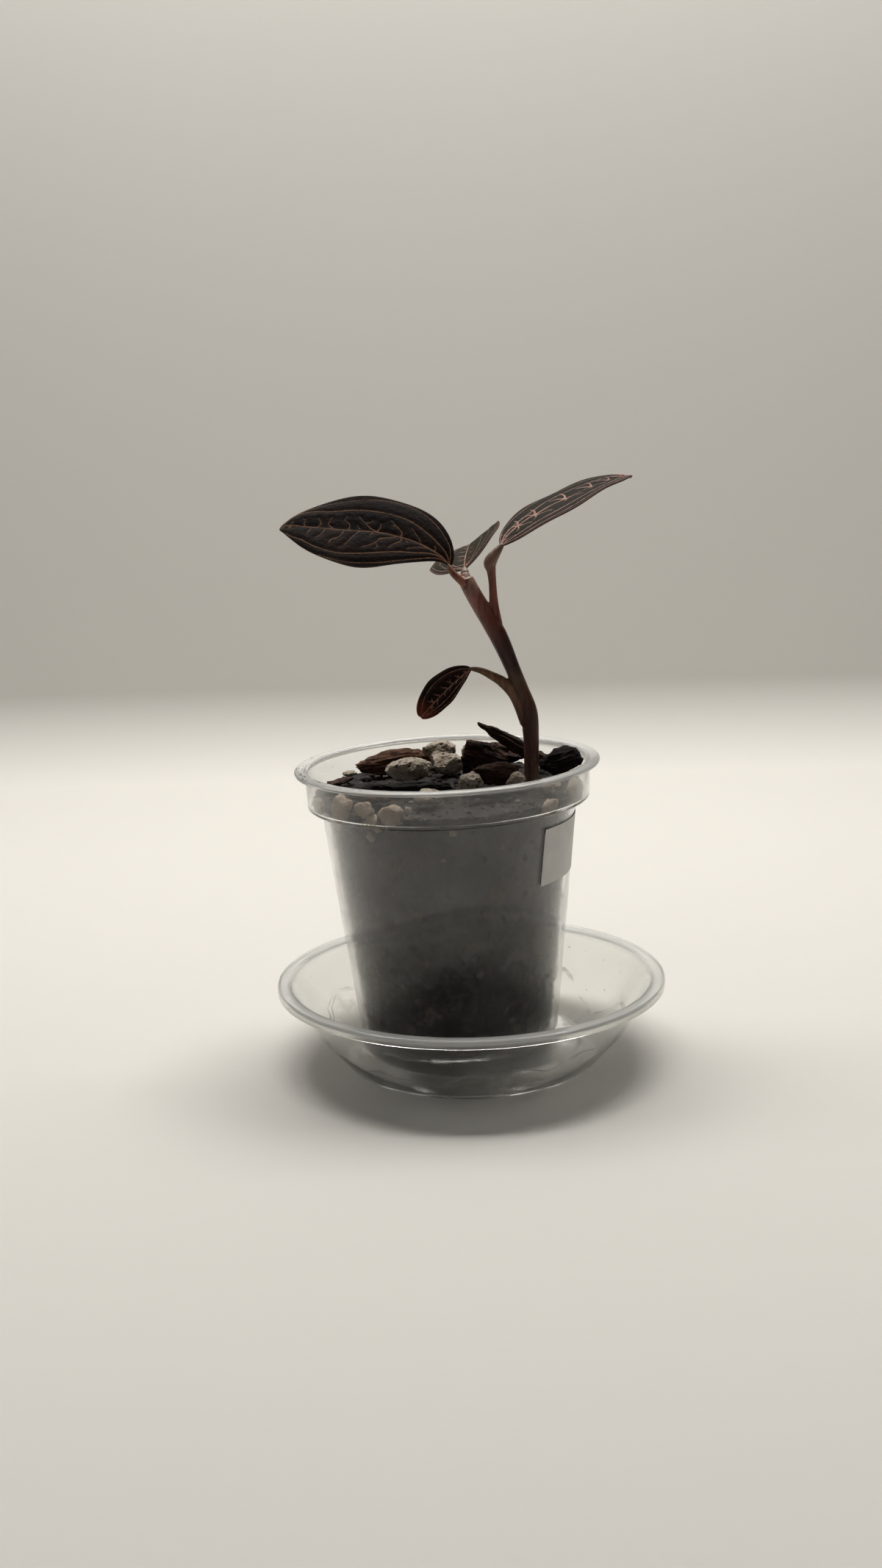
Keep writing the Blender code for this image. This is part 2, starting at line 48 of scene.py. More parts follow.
ahead = Vector((math.sin(CAMERA_YAW) * math.cos(CAMERA_PITCH),
                math.cos(CAMERA_YAW) * math.cos(CAMERA_PITCH), -math.sin(CAMERA_PITCH)))
level = Vector((math.cos(CAMERA_YAW), -math.sin(CAMERA_YAW), 0.0))
upright = level.cross(ahead)
side = math.cos(CAMERA_ROLL) * level + math.sin(CAMERA_ROLL) * upright
top = -math.sin(CAMERA_ROLL) * level + math.cos(CAMERA_ROLL) * upright
camera = bpy.data.objects.new("camera", bpy.data.cameras.new("camera"))
bpy.context.scene.collection.objects.link(camera)
camera.matrix_world = Matrix.Translation(CAMERA_PLACE) @ Matrix((side, top, -ahead)).transposed().to_4x4()
camera.data.sensor_fit = "VERTICAL"
camera.data.sensor_height = 36.0
camera.data.lens = CAMERA_LENS
camera.data.clip_start = 0.01
bpy.context.scene.camera = camera
bpy.context.scene.view_settings.view_transform = "Standard"


def soft_light(name, place, aim, size, power, colour):
    """A softbox at place, facing aim."""
    lamp = bpy.data.objects.new(name, bpy.data.lights.new(name, "AREA"))
    lamp.data.shape = "RECTANGLE"
    lamp.data.size, lamp.data.size_y = size
    lamp.data.energy = power
    lamp.data.color = colour
    lamp.location = place
    lamp.rotation_euler = (Vector(aim) - Vector(place)).to_track_quat("-Z", "Y").to_euler()
    bpy.context.scene.collection.objects.link(lamp)


soft_light("overhead", (0.0, 0.27, 0.95), (0.0, 0.27, 0.0), (1.0, 0.34), 12.6, (1.0, 0.985, 0.95))
soft_light("fill", (-0.6, -0.9, 0.7), (0.0, 0.0, 0.08), (0.6, 0.6), 0.5, (1.0, 0.98, 0.95))
world = bpy.data.worlds.new("room")
world.use_nodes = True
world.node_tree.nodes["Background"].inputs["Color"].default_value = (0.045, 0.045, 0.044, 1.0)
bpy.context.scene.world = world


def material(name, colour, roughness, **sockets):
    """A finish with its constants set on the shader's own sockets."""
    made = bpy.data.materials.new(name)
    made.use_nodes = True
    shader = made.node_tree.nodes["Principled BSDF"]
    shader.inputs["Base Color"].default_value = (*colour, 1.0)
    shader.inputs["Roughness"].default_value = roughness
    for socket, value in sockets.items():
        shader.inputs[socket.replace("_", " ")].default_value = value
    return made


def add(finish, kind, inputs=None, out=0, **options):
    """One more node in a finish: its inputs are values or other nodes' outputs."""
    made = finish.node_tree.nodes.new("ShaderNode" + kind)
    for option, setting in options.items():
        setattr(made, option, setting)
    for socket, value in (inputs or {}).items():
        if isinstance(value, bpy.types.NodeSocket):
            finish.node_tree.links.new(value, made.inputs[socket])
        else:
            made.inputs[socket].default_value = value
    return made.outputs[out]


def feed(finish, socket, output):
    """Lead a node's output into the finish's shader."""
    shader = finish.node_tree.nodes["Principled BSDF"]
    finish.node_tree.links.new(output, shader.inputs[socket])


def stretch(finish, value, low, high, to_low=0.0, to_high=1.0):
    """A value from low to high, brought to run from to_low to to_high, and held there."""
    return add(finish, "MapRange", {"Value": value, "From Min": low, "From Max": high,
                                    "To Min": to_low, "To Max": to_high})


def speckle(finish, place, scale, low, high, detail=3.0, rough=0.55):
    """Noise over a place, with its low to high stretched to 0 to 1."""
    field = add(finish, "TexNoise", {"Vector": place, "Scale": scale, "Detail": detail, "Roughness": rough})
    return stretch(finish, field, low, high)


def blend(finish, share, low, high):
    """Colour low at share 0 to colour high at share 1."""
    return add(finish, "Mix", {0: share, 6: low if isinstance(low, bpy.types.NodeSocket) else (*low, 1.0),
                               7: high if isinstance(high, bpy.types.NodeSocket) else (*high, 1.0)},
               out=2, data_type="RGBA")


def relief(finish, height, depth):
    """Fine relief of a depth in mm, from a height of 0 to 1."""
    feed(finish, "Normal", add(finish, "Bump", {"Height": height, "Strength": 1.0, "Distance": depth * MM}))


def own_place(finish):
    """The piece's own coordinates, in metres."""
    return add(finish, "TexCoord", out=3)


FLOOR_FAR, SWEEP_R, WALL_H = 0.41, 0.045, 2.4
SWEEP_STEPS = 16
bpy.ops.object.select_all(action="DESELECT")
bpy.ops.mesh.primitive_plane_add(size=2.0, location=(0.0, FLOOR_FAR - 1.0, 0.0))
sweep = bpy.context.object
sweep.name = "paper_sweep"
sweep.scale.x = 3.0
bpy.ops.object.transform_apply(location=True, rotation=True, scale=True)
bpy.ops.object.mode_set(mode="EDIT")
bpy.ops.mesh.select_mode(type="EDGE")
bpy.ops.mesh.select_all(action="DESELECT")
bpy.ops.object.mode_set(mode="OBJECT")
for edge in sweep.data.edges:
    edge.select = all(sweep.data.vertices[i].co.y > FLOOR_FAR - 0.01 for i in edge.vertices)
bpy.ops.object.mode_set(mode="EDIT")
for i in range(SWEEP_STEPS):
    before, after = (math.pi / 2 * k / SWEEP_STEPS for k in (i, i + 1))
    back = SWEEP_R * (math.sin(after) - math.sin(before))
    rise = SWEEP_R * (math.cos(before) - math.cos(after))
    bpy.ops.mesh.extrude_region_move(TRANSFORM_OT_translate={"value": (0.0, back, rise)})
bpy.ops.mesh.extrude_region_move(TRANSFORM_OT_translate={"value": (0.0, 0.0, WALL_H)})
bpy.ops.object.mode_set(mode="OBJECT")
bpy.ops.object.shade_smooth()
sweep.data.materials.append(material("pale_paper", (0.62, 0.60, 0.565), 0.85))

# The saucer: one thin clear moulding with a raised seat inside its foot ring, a
# flared wall and a flat rolled rim. Splashed water has dried on it in lines.
SAUCER_STEPS = 144
SAUCER_SECTION = [(0, 5), (31.4, 5), (32.6, 4.5), (34.5, 1), (37.6, 1), (45.2, 10), (51.3, 20),
                  (53.6, 24.1), (54.4, 24.5), (57.3, 24.5), (57.8, 23.9), (57.8, 22.1), (57.0, 22.1),
                  (56.8, 23.4), (54.6, 23.2), (52.5, 20), (46.3, 9.6), (38.4, 0.5), (37.9, 0), (33.6, 0),
                  (31.2, 4), (0, 4)]


def turned(name, section, steps, rounding):
    """Spin a section of (radius, height) mm, down the outside, and round its edges by mm."""
    bpy.ops.object.select_all(action="DESELECT")
    bpy.ops.mesh.primitive_plane_add(size=MM, location=(section[0][0] * MM, 0.0, section[0][1] * MM))
    piece = bpy.context.object
    piece.name = name
    bpy.ops.object.transform_apply(location=True, rotation=True, scale=True)
    bpy.ops.object.mode_set(mode="EDIT")
    bpy.ops.mesh.select_mode(type="VERT")
    bpy.ops.mesh.select_all(action="SELECT")
    bpy.ops.mesh.merge(type="CENTER")
    for (r0, z0), (r1, z1) in zip(section, section[1:]):
        bpy.ops.mesh.extrude_region_move(
            TRANSFORM_OT_translate={"value": ((r1 - r0) * MM, 0.0, (z1 - z0) * MM)})
    bpy.ops.mesh.select_all(action="SELECT")
    bpy.ops.mesh.spin(steps=steps, angle=math.tau, center=(0, 0, 0), axis=(0, 0, 1))
    bpy.ops.mesh.select_all(action="SELECT")
    bpy.ops.mesh.remove_doubles(threshold=0.00001)
    bpy.ops.mesh.normals_make_consistent(inside=False)
    bpy.ops.object.mode_set(mode="OBJECT")
    edges = piece.modifiers.new("edges", "BEVEL")
    edges.width = rounding * MM
    edges.segments = 2
    edges.angle_limit = math.radians(24)
    bpy.ops.object.modifier_apply(modifier="edges")
    bpy.ops.object.shade_smooth_by_angle(angle=math.radians(40))
    return piece


def clear_plastic(name, tint, haze, milky, stain, stain_top):
    """Thin clear plastic, lightly scuffed: hazy in patches, milky over a height, stained below another."""
    finish = material(name, tint, 0.1, Transmission_Weight=1.0, IOR=1.45, Specular_IOR_Level=0.4)
    place = own_place(finish)
    height = add(finish, "SeparateXYZ", {0: place}, out=2)
    feed(finish, "Roughness", stretch(finish, speckle(finish, place, 55.0, 0.35, 0.7), 0, 1, 0.03, 0.14))
    clouds = stretch(finish, speckle(finish, place, 38.0, 0.4, 0.66, detail=5.0), 0, 1, 0.3 * haze, haze)
    thick = stretch(finish, height, (milky[0] - 0.8) * MM, milky[0] * MM, 0.0, milky[1])
    wander = add(finish, "TexNoise", {"Vector": place, "Scale": 19.0, "Detail": 3.0, "Roughness": 0.6})
    level = stretch(finish, wander, 0.3, 0.7, 0.15 * stain_top * MM, 1.15 * stain_top * MM)
    off = add(finish, "Math", {0: height, 1: level}, operation="SUBTRACT")
    line = stretch(finish, add(finish, "Math", {0: off}, operation="ABSOLUTE"), 0.0, 0.0005, 0.8, 0.0)
    broken = speckle(finish, place, 90.0, 0.42, 0.58)
    line = add(finish, "Math", {0: line, 1: broken}, operation="MULTIPLY")
    smudge = speckle(finish, place, 70.0, 0.56, 0.78, detail=6.0, rough=0.65)
    low = stretch(finish, height, 0.55 * stain_top * MM, 1.1 * stain_top * MM, 0.75, 0.0)
    smudge = add(finish, "Math", {0: smudge, 1: low}, operation="MULTIPLY")
    specks = stretch(finish, speckle(finish, place, 750.0, 0.72, 0.76, detail=2.0), 0, 1, 0.0, 0.9)
    marks = add(finish, "Math", {0: line, 1: smudge}, operation="MAXIMUM")
    marks = add(finish, "Math", {0: marks, 1: specks}, operation="MAXIMUM")
    feed(finish, "Base Color", blend(finish, marks, tint, stain))
    cloudy = add(finish, "Math", {0: clouds, 1: thick}, operation="ADD")
    cloudy = add(finish, "Math", {0: cloudy, 1: stretch(finish, marks, 0, 1, 0, 0.4)}, operation="ADD")
    feed(finish, "Transmission Weight", stretch(finish, cloudy, 0.0, 1.0, 1.0, 0.0))
    relief(finish, add(finish, "TexNoise", {"Vector": place, "Scale": 120.0, "Detail": 2.0}), 0.04)
    return finish


saucer = turned("saucer_moulding", SAUCER_SECTION, SAUCER_STEPS, 0.22)
saucer.data.materials.append(clear_plastic("saucer_plastic", (0.93, 0.93, 0.91), 0.07, (23.4, 0.30),
                                           (0.34, 0.29, 0.25), 13.0))
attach(saucer, "root")
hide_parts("saucer")

# The nursery pot: thin clear plastic, a tapered body with a stepped collar and a
# flat lip, seven drain holes. It stands loose on the saucer's seat, leaning left.
POT_LEAN = math.radians(-1.28)
POT_SEAT = Matrix.Translation((-3.66 * MM, 5.0 * MM, 6.0 * MM)) @ Matrix.Rotation(POT_LEAN, 4, "Y")
POT_STEPS = 144
POT_SHOULDER, LIP_TOP = 71.2, 82.5
BASE_R, BODY_FLARE, POT_WALL = 29.7, 7.9, 0.8
DRAIN_R, DRAIN_RING_R, DRAIN_COUNT = 2.6, 19.0, 6


def body_radius(z):
    """Outer radius in mm of the pot's body at a height in mm over its base."""
    return BASE_R + BODY_FLARE * z / POT_SHOULDER


POT_SECTION = [(0, 1.2), (28.4, 1.2), (body_radius(2) - POT_WALL, 2),
               (body_radius(POT_SHOULDER) - POT_WALL, 71.8), (40.5, 72.1), (40.9, 72.6), (41.1, 82),
               (41.6, LIP_TOP), (44.6, LIP_TOP), (45, 82.1), (44.9, 81.4), (42.2, 81.5), (41.9, 80.9),
               (41.7, 71.7), (41.2, POT_SHOULDER), (37.7, 70.9), (body_radius(1), 1), (28.9, 0), (0, 0)]
pot = turned("pot_moulding", POT_SECTION, POT_STEPS, 0.16)
drains = [(0.0, 0.0)]
for i in range(DRAIN_COUNT):
    drains.append((DRAIN_RING_R * math.cos(math.tau * i / DRAIN_COUNT),
                   DRAIN_RING_R * math.sin(math.tau * i / DRAIN_COUNT)))
for x, y in drains:
    bpy.ops.object.select_all(action="DESELECT")
    bpy.ops.mesh.primitive_cylinder_add(vertices=32, radius=DRAIN_R * MM, depth=6 * MM,
                                        location=(x * MM, y * MM, 0.6 * MM))
    punch = bpy.context.object
    bpy.context.view_layer.objects.active = pot
    hole = pot.modifiers.new("hole", "BOOLEAN")
    hole.operation = "DIFFERENCE"
    hole.object = punch
    bpy.ops.object.modifier_apply(modifier="hole")
    bpy.data.objects.remove(punch, do_unlink=True)
pot.data.transform(POT_SEAT)
pot.data.materials.clear()
pot.data.materials.append(clear_plastic("pot_plastic", (0.93, 0.93, 0.92), 0.035, (87.4, 0.26),
                                        (0.22, 0.16, 0.12), 5.0))
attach(pot, "root")
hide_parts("pot")

# The label: a strip of white paper stuck to the pot under its collar. It is blank.
LABEL_ANGLES = (-44.5, 2.0)
LABEL_HEIGHTS = (49.7, 66.4)
LABEL_SLANT = 1.5
LABEL_OFF, LABEL_CURL, LABEL_THICK = 0.15, 0.16, 0.12
bpy.ops.object.select_all(action="DESELECT")
bpy.ops.mesh.primitive_grid_add(x_subdivisions=72, y_subdivisions=24, size=1.0)
label = bpy.context.object
label.name = "paper_label"
for vert in label.data.vertices:
    across, height = vert.co.x + 0.5, vert.co.y + 0.5
    z = LABEL_HEIGHTS[0] + (LABEL_HEIGHTS[1] - LABEL_HEIGHTS[0]) * height
    turn = LABEL_ANGLES[0] + (LABEL_ANGLES[1] - LABEL_ANGLES[0]) * across + LABEL_SLANT * height
    angle = math.radians(turn)
    corner = max(0.0, 1.0 - 9.0 * math.hypot(across, 1.0 - height))
    lifted = LABEL_CURL * corner + 0.03 * noise.noise(vert.co * 5)
    radius = body_radius(z) + LABEL_OFF + lifted
    vert.co = POT_SEAT @ (Vector((radius * math.cos(angle), radius * math.sin(angle), z)) * MM)
sheet = label.modifiers.new("paper", "SOLIDIFY")
sheet.thickness = LABEL_THICK * MM
sheet.offset = 1.0
bpy.ops.object.modifier_apply(modifier="paper")
bpy.ops.object.shade_smooth_by_angle(angle=math.radians(40))
paper = material("label_paper", (0.78, 0.77, 0.735), 0.55, Specular_IOR_Level=0.3)
place = own_place(paper)
feed(paper, "Base Color", blend(paper, speckle(paper, place, 160.0, 0.3, 0.75, detail=6.0),
                                (0.80, 0.79, 0.755), (0.70, 0.68, 0.64)))
relief(paper, speckle(paper, place, 2600.0, 0.2, 0.8), 0.02)
label.data.materials.append(paper)
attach(label, "root")
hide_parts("label")

# The potting mix: damp bark fines and grit that fill the pot. Its grains show on
# top and through the wall, paler and drier above, wet and nearly black below.
MIX_VOXEL = 0.6
GRAIN = 2.3
FOG_DEPTH, FOG_TOP, FOG_EDGE, FOG_FADE = 3.5, 74.5, 29.0, 11.0


def finer(node, name, voxel, smoothing):
    """A copy of a solid with joined points, even faces of voxel mm and softened edges."""
    bpy.ops.object.select_all(action="DESELECT")
    piece = bpy.data.objects.new(name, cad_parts[node].data.copy())
    bpy.context.scene.collection.objects.link(piece)
    bpy.context.view_layer.objects.active = piece
    piece.select_set(True)
    bpy.ops.object.mode_set(mode="EDIT")
    bpy.ops.mesh.select_all(action="SELECT")
    bpy.ops.mesh.remove_doubles(threshold=0.000002)
    bpy.ops.object.mode_set(mode="OBJECT")
    even = piece.modifiers.new("even", "REMESH")
    even.mode = "VOXEL"
    even.voxel_size = voxel * MM
    bpy.ops.object.modifier_apply(modifier="even")
    if smoothing:
        soft = piece.modifiers.new("soft", "SMOOTH")
        soft.iterations = smoothing
        bpy.ops.object.modifier_apply(modifier="soft")
    piece.data.materials.clear()
    return piece


def worked(piece, push, **marks):
    """Push each point along its normal by push(place in mm), and keep each mark(place) as an attribute."""
    places = [vert.co / MM for vert in piece.data.vertices]
    for name, mark in marks.items():
        kept = piece.data.attributes.new(name, "FLOAT", "POINT")
        kept.data.foreach_set("value", [mark(at) for at in places])
    normals = [vert.normal.copy() for vert in piece.data.vertices]
    for vert, at, normal in zip(piece.data.vertices, places, normals):
        vert.co += normal * (push(at) * MM)
    piece.data.update()
    for face in piece.data.polygons:
        face.use_smooth = True


def grain_push(at):
    """Packed grains, each a small swelling, with gaps between them."""
    near = noise.voronoi(at / GRAIN)[0]
    fine = noise.voronoi(at / (GRAIN * 0.45))[0]
    return 0.22 - 1.1 * near[0] ** 2 + 0.25 * (near[1] - near[0]) - 0.35 * fine[0]


def grain_tone(at):
    """One random tone from 0 to 1 for each grain."""
    return noise.cell(noise.voronoi(at / GRAIN)[1][0] * 31.7)


def wall_fog(at):
    """How fogged the wall is over a place, 0 on the mix's top: high up, with a wavering lower edge."""
    inside = POT_SEAT.inverted() @ (at * MM) / MM
    reach = math.hypot(inside.x, inside.y)
    if reach < body_radius(min(inside.z, POT_SHOULDER)) - FOG_DEPTH or inside.z > FOG_TOP:
        return 0.0
    edge = FOG_EDGE + 9.0 * noise.noise(at * 0.045) + 4.0 * noise.noise(at * 0.16)
    return min(max((inside.z - edge + FOG_FADE) / (2 * FOG_FADE), 0.0), 1.0)


mix = finer("potting_mix", "mix_of_bark_and_grit", MIX_VOXEL, 0)
worked(mix, grain_push, tone=grain_tone, fog=wall_fog)
soil = material("mix_grains", (0.03, 0.02, 0.016), 0.75, Specular_IOR_Level=0.3)
place = own_place(soil)
tone = add(soil, "Attribute", attribute_name="tone", out=2)
ground = blend(soil, tone, (0.007, 0.0042, 0.0032), (0.030, 0.016, 0.011))
grit = stretch(soil, tone, 0.92, 0.95, 0.0, 0.7)
ground = blend(soil, grit, ground, (0.13, 0.105, 0.085))
ground = blend(soil, speckle(soil, place, 700.0, 0.45, 0.75), ground, (0.005, 0.0035, 0.003))
fog = add(soil, "Attribute", attribute_name="fog", out=2)
drops = add(soil, "TexNoise", {"Vector": place, "Scale": 270.0, "Detail": 3.0, "Roughness": 0.6})
fog = add(soil, "Math", {0: fog, 1: stretch(soil, drops, 0.32, 0.68, -0.7, 0.7)}, operation="ADD")
fog = stretch(soil, fog, 0.42, 0.56, 0.0, 0.9)
veil = blend(soil, speckle(soil, place, 60.0, 0.38, 0.66, detail=4.0), (0.021, 0.016, 0.018),
             (0.075, 0.069, 0.067))
veil = blend(soil, stretch(soil, grit, 0, 1, 0.0, 0.35), veil, (0.18, 0.15, 0.12))
feed(soil, "Base Color", blend(soil, fog, ground, veil))
relief(soil, speckle(soil, place, 1500.0, 0.3, 0.7), 0.12)
mix.data.materials.append(soil)
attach(mix, "root")
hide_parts("potting_mix")

# Pumice in the mix: pale stones pressed against the inside of the wall, many
# near the top and fewer below. Angle round the pot, height and size, in mm.
WALL_STONES = [(-139, 75.6, 6.8, 7.4), (-125, 76.2, 6.2, 4.8), (-122, 72.4, 5.0, 5.2),
               (-113, 75.1, 6.6, 6.2), (-105, 77.0, 1.8, 2.0), (-127, 67.6, 3.2, 2.6),
               (-116, 59.3, 3.0, 5.6), (-68, 50.5, 4.8, 7.5), (-75, 45.1, 1.8, 1.8),
               (-107, 44.3, 3.0, 3.0), (-127, 41.0, 3.5, 5.5), (-81, 35.0, 3.8, 4.0),
               (-44, 73.2, 5.2, 5.0), (-24, 74.8, 7.5, 6.5), (-40, 33.0, 8.5, 11.0),
               (-88, 69.4, 2.4, 1.9), (-149, 70.0, 4.0, 5.0), (-118, 8.5, 2.8, 3.2),
               (-108, 6.5, 2.4, 2.6), (-56, 8.0, 3.4, 3.0), (-46, 9.0, 4.0, 3.0), (-93, 61.5, 1.7, 1.3)]
MORE_STONES = 34
COLLAR_R, STONE_INSET = 41.6, 0.9
draw = random.Random(5)


def wall_radius(z):
    """Radius in mm just inside the pot's wall at a height in mm over its base."""
    return (body_radius(z) if z < POT_SHOULDER + 0.4 else COLLAR_R) - STONE_INSET


def stone(name, detail, size, seed, knob):
    """A knobbly lump about the origin, of a size in mm."""
    bpy.ops.object.select_all(action="DESELECT")
    bpy.ops.mesh.primitive_ico_sphere_add(subdivisions=detail, radius=0.5)
    lump = bpy.context.object
    lump.name = name
    shift = Vector((seed * 3.7, seed * 1.3, seed * 0.7))
    for vert in lump.data.vertices:
        swell = 1.0 + knob * noise.noise(vert.co * 2.7 + shift)
        swell += 0.35 * knob * noise.noise(vert.co * 8 + shift)
        vert.co = Vector([c * s for c, s in zip(vert.co * swell, size)])
    for face in lump.data.polygons:
        face.use_smooth = True
    return lump


def joined(name, lumps):
    """Several lumps as one piece."""
    bpy.ops.object.select_all(action="DESELECT")
    for lump in lumps:
        lump.select_set(True)
    bpy.context.view_layer.objects.active = lumps[0]
    bpy.ops.object.join()
    bpy.context.object.name = name
    return bpy.context.object


stones = list(WALL_STONES)
for i in range(MORE_STONES):
    height = 8 + 66 * draw.random() ** 0.6
    across = draw.uniform(1.2, 4.8)
    stones.append((draw.uniform(-28, 208), height, across, across * draw.uniform(0.7, 1.3)))
lumps = []
for i, (angle, z, wide, high) in enumerate(stones):
    lump = stone(f"wall_stone_{i}", 3 if wide > 2.5 else 2, (0.7 * min(wide, high), wide, high), i, 0.45)
    lump.data.transform(Matrix.Rotation(0.5 * math.sin(7.0 * i), 4, "X"))
    around = Matrix.Rotation(math.radians(angle), 4, "Z")
    lump.data.transform(around @ Matrix.Translation((wall_radius(z) - 0.22 * min(wide, high), 0, z)))
    for vert in lump.data.vertices:
        reach = math.hypot(vert.co.x, vert.co.y)
        if reach > wall_radius(vert.co.z):
            vert.co.xy *= wall_radius(vert.co.z) / reach
    lumps.append(lump)
wall_stones = joined("pumice_at_the_wall", lumps)
wall_stones.data.transform(POT_SEAT @ Matrix.Scale(MM, 4))


def pumice_finish(name, pale, dull, pits):
    """Pale porous stone, dusted with brown, with painted shade in its pores."""
    finish = material(name, pale, 0.9, Specular_IOR_Level=0.2)
    place = own_place(finish)
    tint = blend(finish, speckle(finish, place, 230.0, 0.35, 0.7, detail=6.0), pale, dull)
    pores = add(finish, "TexVoronoi", {"Vector": place, "Scale": 1500.0})
    pores = stretch(finish, pores, 0.12, 0.34, 1.0, 0.0)
    patchy = speckle(finish, place, 420.0, 0.45, 0.6)
    pores = add(finish, "Math", {0: pores, 1: patchy}, operation="MULTIPLY")
    if pits:
        pit = stretch(finish, add(finish, "Attribute", attribute_name="pit", out=2), 0.15, 0.9)
        pores = add(finish, "Math", {0: pores, 1: pit}, operation="MAXIMUM")
    else:
        high = stretch(finish, add(finish, "SeparateXYZ", {0: place}, out=2), 0.066, 0.078)
        tint = blend(finish, high, tuple(0.28 * c for c in dull), tint)
    # Painted shade: the pores, and on the loose stones their sunk pits, are darkened towards dark brown.
    shade = stretch(finish, pores, 0, 1, 0.0, 0.8)
    feed(finish, "Base Color", blend(finish, shade, tint, (0.05, 0.035, 0.026)))
    rough = add(finish, "Math", {0: speckle(finish, place, 1300.0, 0.25, 0.75, detail=5.0), 1: pores},
                operation="SUBTRACT")
    relief(finish, rough, 0.16)
    return finish


buried = pumice_finish("buried_pumice", (0.40, 0.33, 0.26), (0.24, 0.18, 0.13), False)
wall_stones.data.materials.append(buried)
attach(wall_stones, "root")

# The stem: fleshy and smooth, with the leaves' stalks sheathing it where they
# part, and three thick roots in the mix. Points are x, y, z and radius in mm, and
# colours the share of a stalk's length, then red, green and blue.
STEM = [(24.3, -1.2, 56, 1.7), (24.6, -1.5, 70, 2.1), (24.8, -1.5, 79, 2.15), (25.1, -1.5, 88, 2.3),
        (24.6, -1.5, 96, 2.7), (22.6, -1.5, 103, 2.35), (20.6, -1.5, 109, 2.2), (17.6, -1.6, 117, 2.6),
        (15.3, -1.6, 122, 2.7), (12.2, -1.7, 127.5, 2.5), (9.6, -1.8, 132.5, 2.4), (8.2, -1.4, 135.6, 2.3)]
STALKS = {
    "right": [(17.4, -1.6, 118, 1.8), (16.2, -1.5, 124, 1.7), (15.9, -1.5, 129, 1.3),
              (15.8, -1.5, 134, 1.15), (15.6, -1.5, 137.6, 1.35), (15.5, -1.5, 140.4, 1.9)],
    "left": [(8.6, -2.4, 133.5, 1.3), (6.4, -3.4, 135.9, 1.2), (4.6, -3.5, 137.7, 1.0)],
    "low": [(24.2, -1.5, 93, 2.2), (22.6, -1.6, 98.5, 2.3), (20.6, -1.8, 102.2, 2.0),
            (17.4, -2.1, 105.5, 1.6), (14.4, -2.4, 107.5, 1.25), (11.3, -2.8, 109.2, 0.95)],
    "back": [(8.8, -1.6, 134, 1.9), (8.1, -1.1, 136.2, 1.6)],
}
STALK_ENDS = {"right": 0.9, "left": 0.8, "low": 0.6, "back": 1.0}
ROOTS = [[(24.4, -1.3, 60, 1.4), (19, 3, 50, 1.3), (16, 10, 38, 1.1), (6, 14, 24, 0.9)],
         [(24.4, -1.3, 62, 1.4), (20, -8, 54, 1.3), (12, -14, 42, 1.1), (-2, -12, 30, 0.9)],
         [(24.4, -1.3, 58, 1.4), (25, 2, 46, 1.3), (20, -4, 32, 1.1), (10, -2, 18, 0.9)]]
STALK_COLOURS = {
    "stem": [(0.0, (0.42, 0.33, 0.22)), (0.24, (0.13, 0.045, 0.03)), (0.34, (0.07, 0.022, 0.015)),
             (0.42, (0.13, 0.055, 0.034)), (0.50, (0.13, 0.08, 0.046)), (0.56, (0.05, 0.022, 0.016)),
             (0.63, (0.055, 0.015, 0.012)), (0.75, (0.20, 0.06, 0.042)), (0.86, (0.30, 0.13, 0.095)),
             (1.0, (0.36, 0.24, 0.18))],
    "right": [(0.0, (0.27, 0.085, 0.058)), (0.45, (0.26, 0.10, 0.07)), (0.8, (0.22, 0.14, 0.10)),
              (1.0, (0.14, 0.10, 0.06))],
    "left": [(0.0, (0.34, 0.12, 0.08)), (0.5, (0.24, 0.10, 0.06)), (1.0, (0.16, 0.10, 0.06))],
    "low": [(0.0, (0.20, 0.08, 0.05)), (0.3, (0.22, 0.12, 0.07)), (0.6, (0.26, 0.14, 0.07)),
            (0.85, (0.17, 0.11, 0.055)), (1.0, (0.09, 0.06, 0.04))],
    "back": [(0.0, (0.30, 0.19, 0.14)), (1.0, (0.22, 0.15, 0.10))],
}
STEM_VOXEL = 0.24
TINT_BLEND, CREASE_WIDTH, CREASE_DEPTH = 9.0, 0.28, 0.14


